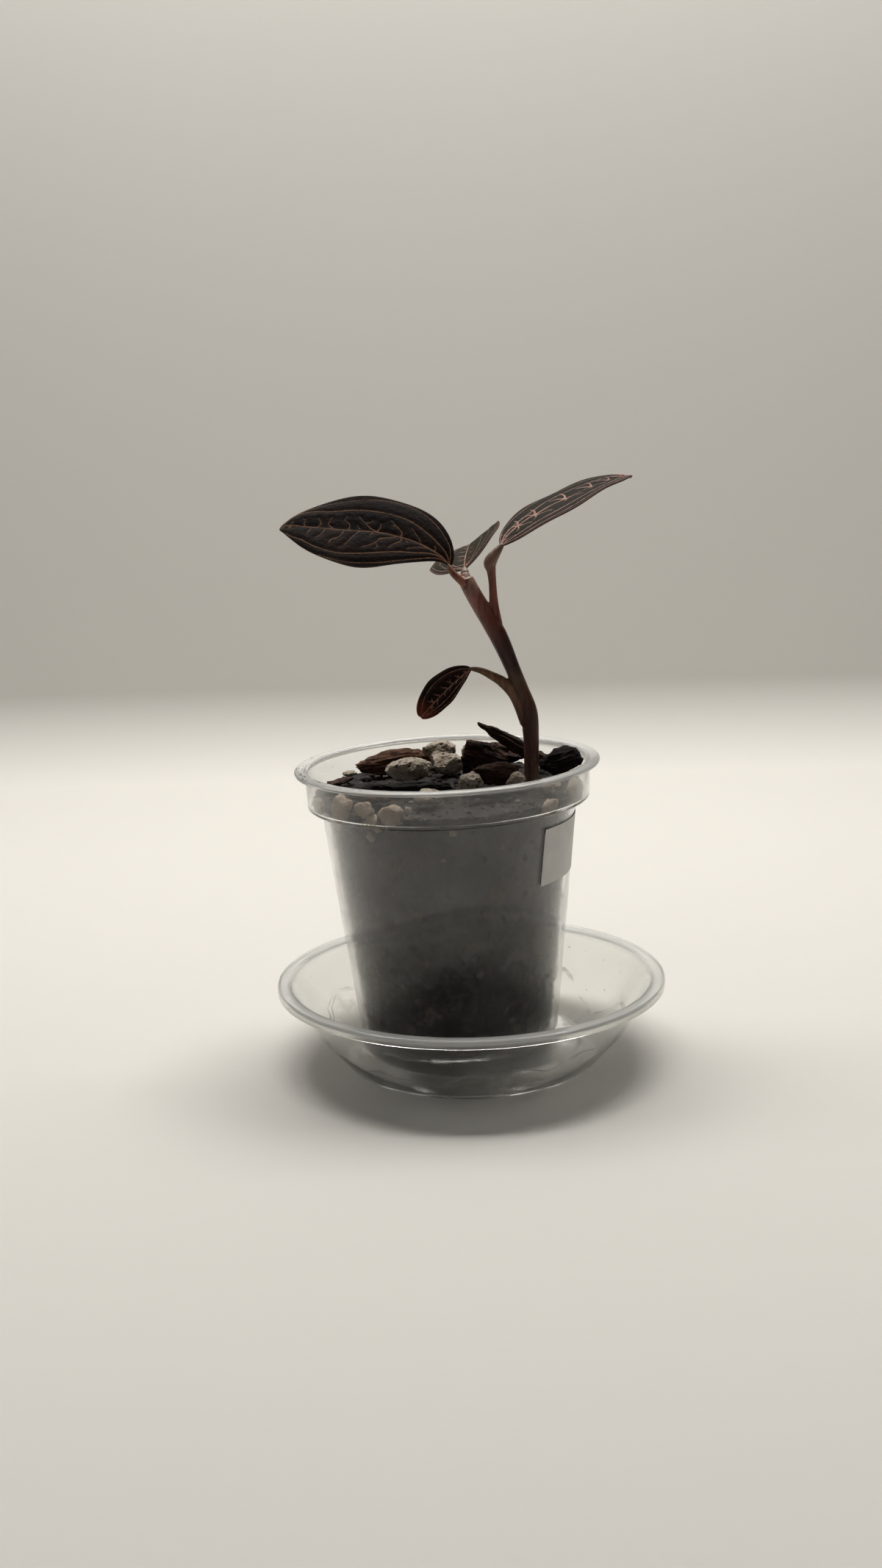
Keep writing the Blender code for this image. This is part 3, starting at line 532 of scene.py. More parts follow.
class Blade:
    """One leaf's form: a curved midrib, and on each side a width that swells and closes.

    rib    four Bezier points of the midrib in mm, from the stalk to the tip
    left, right    width, two fullness exponents, and the rise of that side in
                   degrees at the stalk, the middle and the tip, looking to the tip
    """

    def __init__(self, rib, left, right, wave=0.3, cup=0.5):
        self.rib = [np.array(p, float) for p in rib]
        self.left, self.right, self.wave, self.cup = left, right, wave, cup
        steps = self.points(np.linspace(0, 1, 60), np.zeros(60))
        self.length = float(np.linalg.norm(np.diff(steps, axis=0), axis=1).sum())

    def half(self, t, s):
        """Width of the blade's side in mm."""
        sides = [np.maximum(w * np.maximum(np.sin(np.pi * t ** swell), 0.0) ** power, 0.25)
                 for w, swell, power, _ in (self.left, self.right)]
        return np.where(s >= 0, sides[0], sides[1])

    def points(self, t, s):
        """Places at the shares t along the midrib and s across, -1 right to 1 left."""
        a, b, c, d = self.rib
        t, s = np.asarray(t, float)[:, None], np.asarray(s, float)[:, None]
        middle = a * (1 - t) ** 3 + b * 3 * t * (1 - t) ** 2 + c * 3 * t * t * (1 - t) + d * t ** 3
        along = (b - a) * (1 - t) ** 2 + (c - b) * 2 * t * (1 - t) + (d - c) * t * t
        along /= np.linalg.norm(along, axis=1, keepdims=True)
        across = np.cross((0.0, 0.0, 1.0), along)
        across /= np.linalg.norm(across, axis=1, keepdims=True)
        up = np.cross(along, across)
        rise = 0.0
        for share, i in (((1 - t) * (1 - 2 * t), 0), (4 * t * (1 - t), 1), (t * (2 * t - 1), 2)):
            rise = rise + share * np.where(s >= 0, self.left[3][i], self.right[3][i])
        rise, half = np.radians(rise), self.half(t, s)
        full = half / np.where(s >= 0, self.left[0], self.right[0])
        lift = half * np.abs(s) * np.sin(rise) + self.cup * np.sin(np.pi * np.abs(s)) * full
        lift += self.wave * np.sin(17 * t + 2 * s) * np.abs(s) ** 3 * full
        return middle + across * half * s * np.cos(rise) + up * lift


BLADES = {
    "left": Blade([(3.7, -3, 139.4), (0, -2.5, 150.1), (-33.6, -3, 154.2), (-44.1, -5, 152.6)],
                  (12.5, 1.28, 1.0, (-52, -52, -48)), (12.2, 0.85, 1.0, (52, 52, 49))),
    "right": Blade([(18.6, -1.5, 144.4), (24.5, 2.9, 152.1), (55.2, 24.3, 163.8), (59.2, 27.1, 161.1)],
                   (10.9, 0.97, 1.0, (14, 2, 15)), (11.4, 0.85, 0.95, (-3, 3, 2))),
    "back": Blade([(8, 0.4, 138.2), (8.3, 12, 140.6), (9.5, 26, 143.4), (10, 38, 142.8)],
                  (12, 0.9, 0.8, (-18, -20, -16)), (13.5, 0.9, 0.8, (38, 41, 30))),
    "low": Blade([(8.5, -3, 109.9), (3.5, -5, 106.7), (-1, -8, 102.9), (-6.7, -10, 97.4)],
                 (3.5, 1.6, 0.47, (-55, -55, -55)), (5.5, 1.15, 0.46, (56, 56, 56)), 0.1, 0.2),
}


def smooth_route(route, steps):
    """A smooth line of steps for each stretch between a route's points."""
    line = []
    for i in range(len(route) - 1):
        around = (route[min(max(k, 0), len(route) - 1)] for k in range(i - 1, i + 3))
        before, start, end, after = (Vector(point) for point in around)
        for k in range(steps + (i == len(route) - 2)):
            t = k / steps
            place = 2 * start + (end - before) * t + (2 * before - 5 * start + 4 * end - after) * t ** 2
            line.append(0.5 * (place + (3 * start - before - 3 * end + after) * t ** 3))
    return line


def tube(name, route):
    """A round stalk along a route of (x, y, z, radius) mm, as a mesh."""
    line = bpy.data.curves.new(name, "CURVE")
    line.dimensions = "3D"
    line.bevel_depth = 1.0
    line.bevel_resolution = 6
    line.use_fill_caps = True
    spline = line.splines.new("POLY")
    places = smooth_route(route, 6)
    spline.points.add(len(places) - 1)
    for point, place in zip(spline.points, places):
        point.co = (*place[:3], 1.0)
        point.radius = place[3]
    stalk = bpy.data.objects.new(name, line)
    bpy.context.scene.collection.objects.link(stalk)
    bpy.ops.object.select_all(action="DESELECT")
    stalk.select_set(True)
    bpy.context.view_layer.objects.active = stalk
    bpy.ops.object.convert(target="MESH")
    return bpy.context.object


routes = {"stem": STEM}
for name, route in STALKS.items():
    start, inside = (Vector(p) for p in BLADES[name].points([0.0, 0.03], [0.0, 0.0]))
    routes[name] = route + [(*start, STALK_ENDS[name]), (*inside, 0.45 * STALK_ENDS[name])]
tubes = [tube("stalk_" + name, route) for name, route in routes.items()]
tubes += [tube("root", root) for root in ROOTS]
stem = joined("stem_and_stalks", tubes)
for kind, amount in (("REMESH", STEM_VOXEL), ("SMOOTH", 5)):
    step = stem.modifiers.new("step", kind)
    if kind == "REMESH":
        step.mode = "VOXEL"
        step.voxel_size = amount
    else:
        step.iterations = amount
    bpy.ops.object.modifier_apply(modifier="step")

places = np.array([vert.co for vert in stem.data.vertices])
reaches, tints = [], []
for name, route in routes.items():
    stops, colours = zip(*STALK_COLOURS[name])
    line = np.array(smooth_route(route, 6))
    gaps = np.linalg.norm(places[:, None, :] - line[None, :, :3], axis=2) - line[None, :, 3]
    share = gaps.argmin(axis=1) / (len(line) - 1)
    reaches.append(gaps.min(axis=1))
    tints.append(np.stack([np.interp(share, stops, channel) for channel in zip(*colours)], axis=1))
reaches, tints = np.array(reaches), np.array(tints)
weights = np.exp(-TINT_BLEND * (reaches - reaches.min(axis=0)))
tints = (weights[:, :, None] * tints).sum(axis=0) / weights.sum(axis=0)[:, None]
two = np.sort(reaches, axis=0)[:2]
crease_dent_and_shade = np.clip(1.0 - (two[1] - two[0]) / CREASE_WIDTH, 0.0, 1.0) * (two[1] < 0.5)
# Painted shade: the colour is darkened by up to 0.55 along the creases where the stalks meet the stem and
# each other.
kept = stem.data.attributes.new("tint", "FLOAT_VECTOR", "POINT")
kept.data.foreach_set("vector", (tints * (1.0 - 0.55 * crease_dent_and_shade[:, None])).astype(np.float32).ravel())
normals = np.array([vert.normal for vert in stem.data.vertices])
places -= CREASE_DEPTH * crease_dent_and_shade[:, None] * normals
stem.data.vertices.foreach_set("co", places.astype(np.float32).ravel())
stem.data.transform(POT_SEAT @ Matrix.Scale(MM, 4))
for face in stem.data.polygons:
    face.use_smooth = True
flesh = material("stalk_flesh", (0.2, 0.08, 0.05), 0.42, Specular_IOR_Level=0.35, Subsurface_Weight=0.12,
                 Subsurface_Scale=0.002)
place = own_place(flesh)
tint = add(flesh, "Attribute", attribute_name="tint", out=0)
drawn = add(flesh, "Mapping", {"Vector": place, "Scale": (1.0, 1.0, 0.12), "Rotation": (0.0, 0.35, 0.0)})
streaks = speckle(flesh, drawn, 900.0, 0.35, 0.65)
dark = add(flesh, "Mix", {0: 1.0, 6: tint, 7: (0.55, 0.48, 0.45, 1.0)}, out=2, data_type="RGBA",
           blend_type="MULTIPLY")
skin = blend(flesh, streaks, dark, tint)
specks = speckle(flesh, place, 1700.0, 0.66, 0.74, detail=2.0)
feed(flesh, "Base Color", blend(flesh, stretch(flesh, specks, 0, 1, 0, 0.7), skin, (0.05, 0.02, 0.015)))
feed(flesh, "Roughness", stretch(flesh, streaks, 0.0, 1.0, 0.36, 0.52))
relief(flesh, streaks, 0.05)
stem.data.materials.append(flesh)
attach(stem, "root")
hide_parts("orchid_stem")

# The leaves: thin velvety blades, each folded along its midrib. The veins are
# flat copper lines: some run the blade's length, short hooked ones leave the rib.
# A vein is its points (share along, share across) and its width at both ends.
MAIN, FINE = (0.40, 0.26), (0.30, 0.16)
LEFT_VEINS = [
    ([(0, 0.0), (0.08, 0.04), (0.15, 0.08), (0.25, 0.03), (0.37, 0.0), (0.48, 0.01), (0.61, 0.07),
      (0.72, 0.06), (0.83, 0.0), (0.91, -0.22), (0.95, -0.4), (1.0, 0.0)], (0.5, 0.3)),
    ([(0.02, -0.15), (0.08, -0.28), (0.17, -0.31), (0.26, -0.39), (0.33, -0.47), (0.42, -0.51),
      (0.6, -0.53), (0.71, -0.56), (0.84, -0.86), (0.93, -0.92), (1.0, -0.3)], MAIN),
    ([(0.03, -0.35), (0.1, -0.69), (0.15, -0.73), (0.22, -0.81), (0.3, -0.89), (0.38, -0.93), (0.46, -0.9),
      (0.54, -0.86), (0.64, -0.85), (0.8, -0.93), (0.9, -0.98)], FINE),
    ([(0.02, 0.12), (0.1, 0.24), (0.25, 0.53), (0.35, 0.58), (0.58, 0.7), (0.67, 0.76), (0.77, 0.76),
      (0.87, 0.69), (0.96, 0.85)], MAIN),
    ([(0.05, 0.4), (0.16, 0.73), (0.27, 0.86), (0.4, 0.91), (0.52, 0.9), (0.63, 0.94), (0.75, 0.99)], FINE),
    ([(0.82, 0.0), (0.83, -0.2), (0.82, -0.36), (0.835, -0.47)], FINE),
    ([(0.76, 0.04), (0.74, -0.13), (0.745, -0.22), (0.755, -0.36)], FINE),
    ([(0.68, 0.06), (0.705, -0.09), (0.7, -0.18), (0.69, -0.31)], FINE),
    ([(0.61, 0.07), (0.607, -0.11), (0.63, -0.23), (0.62, -0.34)], FINE),
    ([(0.48, 0.0), (0.51, -0.06), (0.54, -0.19), (0.57, -0.34)], (0.42, 0.18)),
    ([(0.54, -0.19), (0.52, -0.2), (0.505, -0.27)], FINE),
    ([(0.48, 0.0), (0.47, -0.11), (0.468, -0.21)], FINE),
    ([(0.56, -0.02), (0.575, -0.11)], (0.26, 0.14)),
    ([(0.37, 0.0), (0.365, -0.11), (0.395, -0.22), (0.425, -0.34)], (0.42, 0.18)),
    ([(0.395, -0.22), (0.42, -0.24)], (0.26, 0.14)),
    ([(0.25, 0.02), (0.275, -0.11), (0.3, -0.2), (0.33, -0.32)], FINE),
    ([(0.17, 0.04), (0.165, -0.06), (0.18, -0.16)], FINE),
    ([(0.92, -0.2), (0.905, -0.36), (0.89, -0.52)], FINE),
    ([(0.9, -0.15), (0.93, 0.05)], FINE),
    ([(0.79, 0.03), (0.8, 0.16), (0.815, 0.31)], FINE),
    ([(0.72, 0.07), (0.74, 0.28), (0.77, 0.44)], FINE),
    ([(0.63, 0.08), (0.65, 0.29), (0.69, 0.42), (0.7, 0.54)], FINE),
    ([(0.56, 0.06), (0.59, 0.26), (0.62, 0.49), (0.65, 0.6)], FINE),
    ([(0.38, 0.0), (0.41, 0.1), (0.46, 0.21), (0.49, 0.39), (0.545, 0.53)], (0.36, 0.16)),
    ([(0.48, 0.36), (0.468, 0.43), (0.475, 0.52)], FINE),
    ([(0.37, 0.0), (0.36, 0.15), (0.39, 0.31), (0.415, 0.46)], (0.36, 0.16)),
    ([(0.2, 0.05), (0.26, 0.22), (0.32, 0.42)], FINE),
    ([(0.335, 0.1), (0.325, 0.14)], (0.34, 0.3)),
    ([(0.5, 0.07), (0.51, 0.13)], (0.26, 0.14)),
]
RIGHT_VEINS = [
    ([(0.02, 0.4), (0.05, 0.75), (0.15, 0.88), (0.34, 0.81), (0.475, 0.85), (0.6, 0.8), (0.8, 0.7),
      (0.95, 0.5)], FINE),
    ([(0.01, 0.15), (0.04, 0.35), (0.1, 0.43), (0.28, 0.36), (0.42, 0.42), (0.55, 0.4), (0.7, 0.36),
      (0.9, 0.3)], MAIN),
    ([(0.0, 0.1), (0.06, 0.2), (0.19, 0.18), (0.27, 0.15), (0.32, 0.1), (0.42, 0.08), (0.5, 0.0),
      (0.6, 0.0), (0.88, 0.0), (1.0, 0.0)], (0.42, 0.34)),
    ([(0.01, -0.1), (0.03, -0.2), (0.1, -0.55), (0.25, -0.58), (0.4, -0.68), (0.6, -0.7), (0.8, -0.65),
      (0.95, -0.5)], MAIN),
    ([(0.02, -0.4), (0.08, -0.82), (0.3, -0.87), (0.6, -0.9), (0.9, -0.84)], FINE),
    ([(0.02, -0.7), (0.07, -0.1), (0.11, 0.5), (0.08, 0.9)], (0.2, 0.16)),
    ([(0.12, -0.5), (0.07, 0.05), (0.03, 0.6)], (0.2, 0.14)),
]
for t, s in ((0.2, 0.17), (0.31, 0.1), (0.48, 0.03), (0.63, 0.0), (0.75, 0.0), (0.85, 0.0)):
    RIGHT_VEINS += [([(t, s), (t + 0.025, s + 0.2), (t + 0.03, s + 0.42)], (0.6, 0.2)),
                    ([(t, s), (t - 0.02, s + 0.2), (t - 0.05, s + 0.3)], (0.5, 0.18)),
                    ([(t, s), (t + 0.03, s - 0.24), (t + 0.04, s - 0.5)], (0.6, 0.2)),
                    ([(t, s), (t - 0.015, s - 0.2), (t - 0.045, s - 0.32)], (0.5, 0.18))]


def vein_rule(seed, lengths, first, last, count, reach):
    """Veins along the blade at the shares across in lengths, and hooked branches off the rib."""
    pick = random.Random(seed)
    veins = [([(0.0, 0.0), (0.3, pick.uniform(0.0, 0.06)), (0.6, 0.0), (1.0, 0.0)], (0.42, 0.24))]
    for s in lengths:
        veins.append(([(0.03, 0.4 * s), (0.14, 0.85 * s), (0.35, s), (0.6, 1.02 * s), (0.82, 0.9 * s),
                       (0.97, 0.4 * s)], (0.26, 0.15) if abs(s) < 0.7 else (0.18, 0.12)))
    for i in range(count):
        for turn in (-1, 1):
            t = first + (last - first) * (i + 0.25 * turn + pick.uniform(-0.12, 0.12)) / count
            far = turn * reach * pick.uniform(0.7, 1.05)
            lean = pick.uniform(0.03, 0.06)
            veins.append(([(t, 0.0), (t + 0.2 * lean, 0.35 * far), (t + 0.7 * lean, 0.6 * far),
                           (t + lean, far)], (0.36, 0.15)))
            if pick.random() < 0.5:
                veins.append(([(t + 0.4 * lean, 0.5 * far), (t - 0.4 * lean, 0.8 * far)], (0.26, 0.13)))
    return veins


VEINS = {
    "left": LEFT_VEINS,
    "right": RIGHT_VEINS,
    "back": vein_rule(8, (-0.9, -0.68, -0.45, 0.45, 0.7, 0.9), 0.10, 0.92, 6, 0.34),
    "low": vein_rule(4, (-0.66, 0.58, 0.85), 0.14, 0.9, 6, 0.34),
}


FAR_GAP, VEIN_WINDOW = 1.3, 1.6


def vein_gap(blade, t, s, veins):
    """Distance in mm from places on a blade to the nearest vein's edge, negative inside, up to FAR_GAP."""
    x, y = t * blade.length, s * blade.half(t, s)
    gap = np.full(len(x), FAR_GAP)
    for route, (wide, slim) in veins:
        line = np.array(smooth_route([(*point, 0.0) for point in route], 5))
        xs, ys = line[:, 0] * blade.length, line[:, 1] * blade.half(line[:, 0], line[:, 1])
        for i in range(len(xs) - 1):
            across, along = xs[i + 1] - xs[i], ys[i + 1] - ys[i]
            near = np.flatnonzero((abs(x - 0.5 * (xs[i] + xs[i + 1])) < VEIN_WINDOW + 0.5 * abs(across))
                                  & (abs(y - 0.5 * (ys[i] + ys[i + 1])) < VEIN_WINDOW + 0.5 * abs(along)))
            off_x, off_y = x[near] - xs[i], y[near] - ys[i]
            reach = (off_x * across + off_y * along) / max(across ** 2 + along ** 2, 1e-9)
            reach = np.clip(reach, 0.0, 1.0)
            away = np.hypot(off_x - reach * across, off_y - reach * along)
            away -= 0.5 * (wide + (slim - wide) * (i + reach) / len(xs))
            gap[near] = np.minimum(gap[near], away)
    return gap


def grow(name, blade, veins, stations, lanes, thick):
    """Lay a grid over a blade's rule, mark its veins and give it its thickness in mm."""
    bpy.ops.object.select_all(action="DESELECT")
    bpy.ops.mesh.primitive_grid_add(x_subdivisions=stations, y_subdivisions=lanes, size=1.0)
    leaf = bpy.context.object
    leaf.name = name
    flat = np.array([v.co for v in leaf.data.vertices])
    t, s = 0.004 + 0.992 * (flat[:, 0] + 0.5), 2 * flat[:, 1]
    gap = vein_gap(blade, t, s, veins)
    places = blade.points(t, s)
    leaf.data.vertices.foreach_set("co", places.ravel())
    kept = leaf.data.attributes.new("vein_gap", "FLOAT", "POINT")
    kept.data.foreach_set("value", gap.astype(np.float32))
    spread = leaf.data.attributes.new("spread", "FLOAT_VECTOR", "POINT")
    spread.data.foreach_set("vector", np.stack([t, s, 0 * t], axis=1).astype(np.float32).ravel())
    leaf.data.update()
    normals = np.array([vert.normal for vert in leaf.data.vertices])
    ripple = np.array([noise.noise(vert.co * 0.9) for vert in leaf.data.vertices])
    swell = (0.10 * np.clip(gap, 0.0, 1.2) + 0.05 * ripple) * np.minimum(1.0, 6 * (1 - abs(s)))
    leaf.data.vertices.foreach_set("co", (places + swell[:, None] * normals).ravel())
    leaf.data.transform(POT_SEAT @ Matrix.Scale(MM, 4))
    solid = leaf.modifiers.new("thickness", "SOLIDIFY")
    solid.thickness = thick * MM
    solid.offset = 0.0
    solid.material_offset = 1
    solid.material_offset_rim = 1
    bpy.ops.object.modifier_apply(modifier="thickness")
    bpy.ops.object.shade_smooth_by_angle(angle=math.radians(60))
    return leaf


def leaf_finish(name, dark, patch, vein, tip, tip_from, rim):
    """The blade's upper face: dark velvet in two tones with a painted glint on each cell, copper veins, its
    own tip and rim.
    """
    finish = material(name, dark, 0.6, Specular_IOR_Level=0.06)
    place = own_place(finish)
    spread = add(finish, "Attribute", attribute_name="spread", out=1)
    along = add(finish, "SeparateXYZ", {0: spread}, out=0)
    across = add(finish, "Math", {0: add(finish, "SeparateXYZ", {0: spread}, out=1)}, operation="ABSOLUTE")
    tone = blend(finish, speckle(finish, place, 95.0, 0.38, 0.66, detail=4.0), dark, patch)
    tone = blend(finish, stretch(finish, along, tip_from, 1.0), tone, tip)
    tone = blend(finish, stretch(finish, across, 0.955, 0.99, 0.0, 0.8), tone, rim)
    cells = add(finish, "TexVoronoi", {"Vector": place, "Scale": 2600.0})
    # Painted highlight: each velvet cell is brightened at its middle and darkened at its edge, where its
    # dome rises and sinks.
    painted_cell_glint = stretch(finish, cells, 0.0, 0.6, 1.35, 0.75)
    tone = add(finish, "Mix", {0: 1.0, 6: tone, 7: painted_cell_glint}, out=2, data_type="RGBA", blend_type="MULTIPLY")
    gap = add(finish, "Attribute", attribute_name="vein_gap", out=2)
    ragged = add(finish, "TexNoise", {"Vector": place, "Scale": 1400.0, "Detail": 2.0})
    gap = add(finish, "Math", {0: gap, 1: stretch(finish, ragged, 0.3, 0.7, -0.06, 0.06)}, operation="ADD")
    drawn = stretch(finish, gap, -0.07, 0.09, 1.0, 0.0)
    worn = stretch(finish, speckle(finish, place, 240.0, 0.3, 0.7), 0.0, 1.0, 0.5, 1.0)
    drawn = add(finish, "Math", {0: drawn, 1: worn}, operation="MULTIPLY")
    feed(finish, "Base Color", blend(finish, drawn, tone, vein))
    relief(finish, stretch(finish, cells, 0.0, 0.7, 1.0, 0.0), 0.05)
    return finish


def under_finish(name, dull, flush, rib):
    """The blade's lower face: smooth, flushed purple, paler along the veins."""
    finish = material(name, dull, 0.45, Specular_IOR_Level=0.3)
    place = own_place(finish)
    tone = blend(finish, speckle(finish, place, 110.0, 0.35, 0.7), dull, flush)
    gap = add(finish, "Attribute", attribute_name="vein_gap", out=2)
    feed(finish, "Base Color", blend(finish, stretch(finish, gap, 0.0, 0.5, 0.55, 0.0), tone, rib))
    relief(finish, speckle(finish, place, 1500.0, 0.3, 0.7), 0.03)
    return finish


COPPER, PALE = (0.20, 0.105, 0.062), (0.40, 0.235, 0.19)
LEAF_THICK = 0.42
LEAF_LOOKS = {
    "left": (260, 130, "leaf_dark", (0.0042, 0.0019, 0.0013), (0.012, 0.004, 0.0024), COPPER,
             (0.018, 0.012, 0.005), 0.86, (0.03, 0.016, 0.011), (0.07, 0.018, 0.018)),
    "right": (240, 116, "leaf_olive", (0.0065, 0.0065, 0.0032), (0.014, 0.010, 0.006), PALE,
              (0.36, 0.04, 0.032), 0.84, (0.11, 0.055, 0.045), (0.12, 0.035, 0.03)),
    "back": (150, 90, "leaf_olive", (0.009, 0.0085, 0.004), (0.020, 0.015, 0.007), PALE,
             (0.04, 0.025, 0.016), 0.9, (0.18, 0.10, 0.08), (0.13, 0.05, 0.045)),
    "low": (120, 60, "leaf_dark", (0.008, 0.005, 0.003), (0.022, 0.008, 0.005), (0.30, 0.15, 0.11),
            (0.17, 0.032, 0.014), 0.76, (0.045, 0.022, 0.014), (0.10, 0.02, 0.02)),
}
for name, (stations, lanes, slot, dark, patch, vein, tip, tip_from, rim, under) in LEAF_LOOKS.items():
    leaf = grow("blade_" + name, BLADES[name], VEINS[name], stations, lanes, LEAF_THICK)
    leaf.data.materials.append(leaf_finish("velvet_" + name, dark, patch, vein, tip, tip_from, rim))
    leaf.data.materials.append(under_finish("underside_" + name, under, tuple(1.5 * c for c in under), rim))
    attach(leaf, "root")
    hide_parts("leaf_" + name)

# The bark on top: split chips of conifer bark, in fibrous layers, weathered on
# their faces. They lie loose. Each is worked up from its own solid.
# Each kind: a dark and a pale fibre tone, then the colour of the painted shade in its cracks.
BARK_COLOURS = {
    "orange": ((0.055, 0.022, 0.010), (0.24, 0.105, 0.048), (0.010, 0.006, 0.004)),
    "brown": ((0.016, 0.008, 0.005), (0.15, 0.064, 0.040), (0.005, 0.003, 0.002)),
    "dark": ((0.0045, 0.003, 0.0028), (0.026, 0.016, 0.012), (0.002, 0.0015, 0.0015)),
}
DARK_CHIPS = ("bark_edge_1", "bark_edge_2", "bark_front", "bark_black", "bark_rear_right",
              "bark_front_right")
BARK_VOXEL, BARK_LAYER = 0.26, 1.05


def bark_finish(name, low, high, shaded_crack):
    """Bark: streaks along the fibre, with painted shade in the cracks between its layers and where its fine
    relief dips.
    """
    finish = material(name, high, 0.85, Specular_IOR_Level=0.25)
    fibre = add(finish, "Attribute", attribute_name="fibre", out=1)
    drawn = add(finish, "Mapping", {"Vector": fibre, "Scale": (0.16, 1.0, 1.0)})
    streak = speckle(finish, drawn, 1.1, 0.34, 0.68, detail=6.0, rough=0.65)
    fine = speckle(finish, drawn, 5.5, 0.3, 0.7, detail=4.0)
    patch = speckle(finish, fibre, 0.25, 0.4, 0.62)
    tone = blend(finish, streak, low, high)
    tone = blend(finish, stretch(finish, patch, 0, 1, 0.0, 0.55), tone, low)
    # Painted shade: the cracks between the layers, which are pressed in, are darkened to the crack colour.
    deep = stretch(finish, add(finish, "Attribute", attribute_name="shaded_crack", out=2), 0.35, 0.85)
    tone = blend(finish, deep, tone, shaded_crack)
    # Painted shade: where the fine relief dips, the colour is darkened towards the crack colour.
    feed(finish, "Base Color", blend(finish, stretch(finish, fine, 0, 1, 0.35, 0.0), tone, shaded_crack))
    feed(finish, "Roughness", stretch(finish, streak, 0.0, 1.0, 0.62, 0.9))
    both = add(finish, "Math", {0: fine, 1: streak}, operation="ADD")
    relief(finish, both, 0.18)
    return finish


bark_finishes = {kind: bark_finish("bark_" + kind, *colours) for kind, colours in BARK_COLOURS.items()}
chips = [node for node in sorted(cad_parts) if node.startswith("bark_")]
for seed, node in enumerate(chips):
    chip = finer(node, node.replace("bark", "chip"), BARK_VOXEL, 3)
    places = np.array([vert.co for vert in chip.data.vertices]) / MM
    axes = np.linalg.svd(places[::7] - places.mean(axis=0), full_matrices=False)[2]
    fibre = (places - places.mean(axis=0)) @ axes.T
    kept = chip.data.attributes.new("fibre", "FLOAT_VECTOR", "POINT")
    kept.data.foreach_set("vector", (fibre + 40.0 * seed).astype(np.float32).ravel())
    cracks, pushes = [], []
    for a, b, c in fibre:
        shift = Vector((seed * 5.1, seed * 2.3, 0))
        warp = 0.8 * noise.noise(Vector((0.16 * a, 0.35 * b, 0.3 * c)) + shift)
        layer = (c + 0.3 * b + warp) / BARK_LAYER
        ledge = layer - math.floor(layer)
        strand = noise.noise(Vector((0.13 * a, 1.5 * b, 1.5 * c)) + shift)
        lump = noise.noise(Vector((0.3 * a, 0.5 * b, 0.5 * c)) + shift)
        grit = noise.noise(Vector((0.9 * a, 3.1 * b, 3.1 * c)) + shift)
        shaded_crack = max(0.0, 1.0 - 5.0 * min(ledge, 1 - ledge)) * (0.5 + 0.5 * (lump > -0.1))
        cracks.append(shaded_crack)
        rough = 0.42 * strand + 0.45 * lump + 0.14 * grit
        pushes.append(rough + 0.30 * (ledge - 0.5) - 0.30 * shaded_crack - 0.1)
    kept = chip.data.attributes.new("shaded_crack", "FLOAT", "POINT")
    kept.data.foreach_set("value", cracks)
    normals = [vert.normal.copy() for vert in chip.data.vertices]
    for vert, normal, push in zip(chip.data.vertices, normals, pushes):
        vert.co += normal * push * MM
    chip.data.update()
    for face in chip.data.polygons:
        face.use_smooth = True
    kind = "orange" if node == "bark_left" else "dark" if node in DARK_CHIPS else "brown"
    chip.data.materials.append(bark_finishes[kind])
    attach(chip, "root")
    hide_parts(node)

# The pumice on top: rounded volcanic stones, full of pores, pale where dry.
PUMICE_VOXEL = 0.24
PORE, SMALL_PORE, PORE_REACH = 1.5, 0.7, 0.40


def pore_push(at):
    """Knobs, with round pores of two sizes sunk in."""
    swell = 0.45 * noise.noise(at * 0.5) + 0.26 * noise.noise(at * 1.4) + 0.12 * noise.noise(at * 3.1)
    return swell - 0.5 * pore_depth(at) - 0.2 * max(0.0, 0.5 - noise.voronoi(at / SMALL_PORE)[0][0])


def pore_depth(at):
    """How deep a place lies in a pore, from 0 to 1."""
    near = noise.voronoi(at / PORE)
    open_here = 1.0 if noise.cell(near[1][0] * 17.3) > 0.1 else 0.0
    return open_here * max(0.0, 1.0 - (near[0][0] / PORE_REACH) ** 2)


pumice = pumice_finish("pumice", (0.44, 0.385, 0.315), (0.27, 0.215, 0.165), True)
for node in sorted(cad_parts):
    if node.startswith("pumice_"):
        lump = finer(node, node.replace("pumice", "stone"), PUMICE_VOXEL, 4)
        worked(lump, pore_push, pit=pore_depth)
        lump.data.materials.append(pumice)
        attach(lump, "root")
        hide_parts(node)

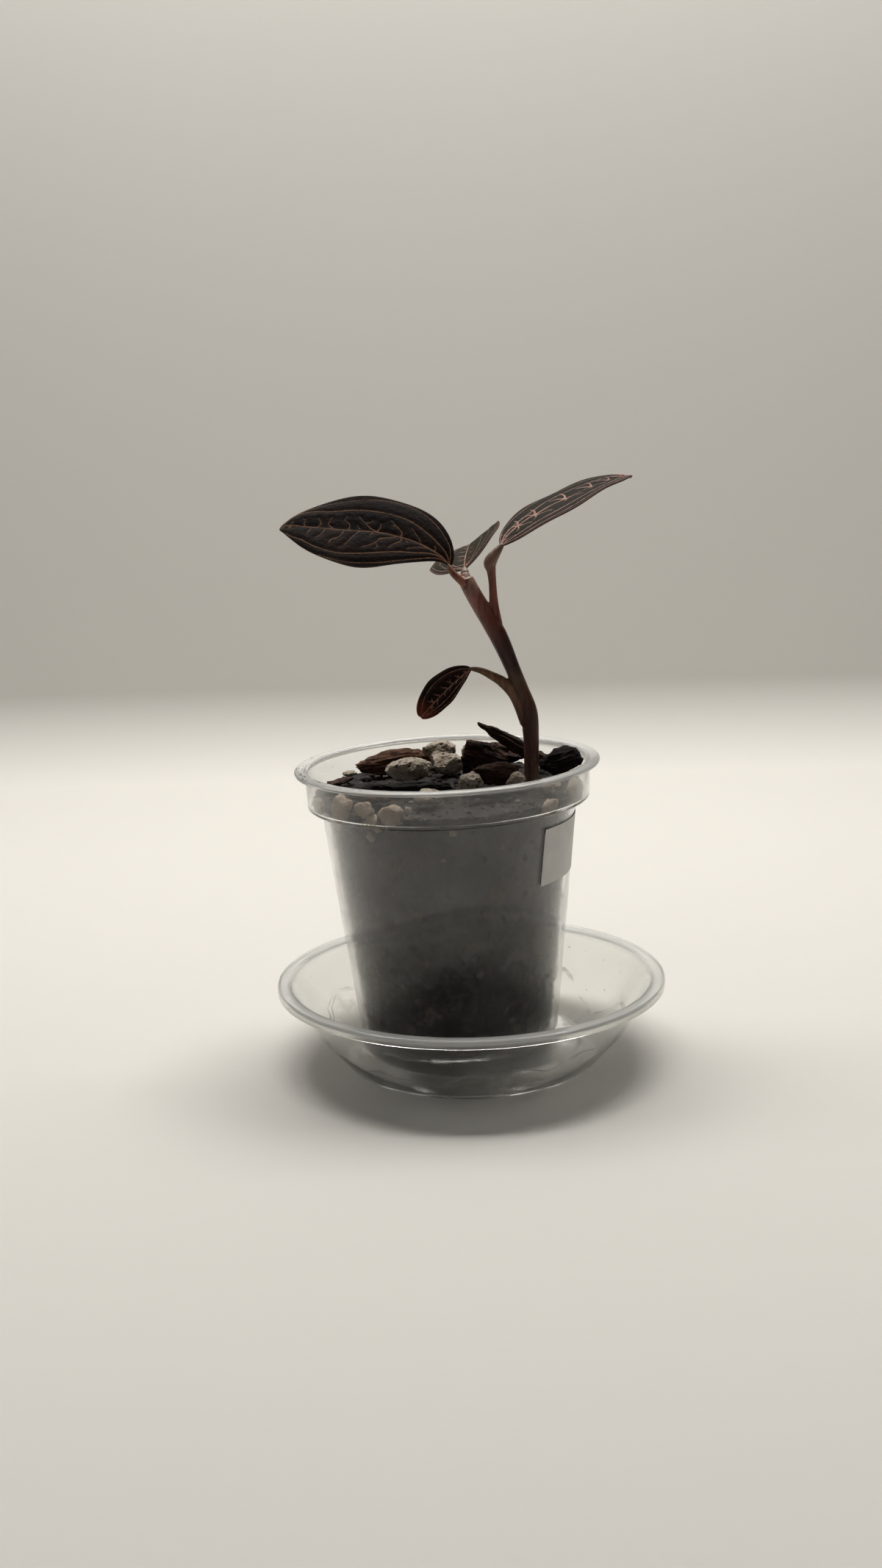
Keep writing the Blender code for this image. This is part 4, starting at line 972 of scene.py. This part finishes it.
# Crumbs: fines of bark and grit between the chips, round the stem's foot, and a
# few specks on the lip, where the pot was filled.
CRUMBS, FOOT_CRUMBS, LIP_SPECKS = 430, 60, 46
STEM_FOOT, CRUMB_REACH = (24.8, -1.5), 39.2
ABOVE, MIX_RIM = 100, 70
draw = random.Random(12)
seats = []
for i in range(CRUMBS):
    angle = draw.uniform(0, math.tau)
    if i < FOOT_CRUMBS:
        reach = draw.uniform(2.2, 5.5)
        x, y = STEM_FOOT[0] + reach * math.cos(angle), STEM_FOOT[1] + reach * math.sin(angle)
    else:
        reach = CRUMB_REACH * math.sqrt(draw.random())
        x, y = reach * math.cos(angle), reach * math.sin(angle)
    start = POT_SEAT @ (Vector((x, y, ABOVE)) * MM)
    hit, place = mix.ray_cast(start, Vector((0, 0, -1)))[:2]
    place = POT_SEAT.inverted() @ place / MM
    if hit and place.z > MIX_RIM:
        seats.append(place)
lumps = []
for i, seat in enumerate(seats):
    size = draw.uniform(0.4, 1.4)
    shape = (size * draw.uniform(1.0, 2.4), size, size * draw.uniform(0.5, 0.9))
    lump = stone(f"crumb_{i}", 1, shape, i, 0.6)
    lump.data.transform(Matrix.Rotation(draw.uniform(0, math.tau), 4, "Z"))
    lump.data.transform(Matrix.Translation((seat.x, seat.y, seat.z + 0.2 * size)))
    lumps.append(lump)
for i in range(LIP_SPECKS):
    angle = math.radians(draw.gauss(-168, 20))
    reach, size = draw.uniform(41.8, 44.4), draw.uniform(0.15, 0.5)
    lump = stone(f"speck_{i}", 1, (size * draw.uniform(1, 2), size, 0.5 * size), i, 0.6)
    lump.data.transform(Matrix.Translation((reach * math.cos(angle), reach * math.sin(angle), LIP_TOP)))
    lumps.append(lump)
for i, lump in enumerate(lumps):
    kept = lump.data.attributes.new("tone", "FLOAT", "POINT")
    kept.data.foreach_set("value", [draw.random()] * len(lump.data.vertices))
crumbs = joined("crumbs", lumps)
crumbs.data.transform(POT_SEAT @ Matrix.Scale(MM, 4))
fines = material("crumbs", (0.03, 0.02, 0.015), 0.85, Specular_IOR_Level=0.3)
tone = add(fines, "Attribute", attribute_name="tone", out=2)
tint = blend(fines, stretch(fines, tone, 0.0, 0.8), (0.008, 0.005, 0.004), (0.075, 0.036, 0.022))
tint = blend(fines, stretch(fines, tone, 0.88, 0.92), tint, (0.32, 0.27, 0.21))
mottle = speckle(fines, own_place(fines), 1800.0, 0.4, 0.7)
feed(fines, "Base Color", blend(fines, stretch(fines, mottle, 0, 1, 0, 0.6), tint, (0.006, 0.004, 0.003)))
relief(fines, mottle, 0.1)
crumbs.data.materials.append(fines)
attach(crumbs, "root")
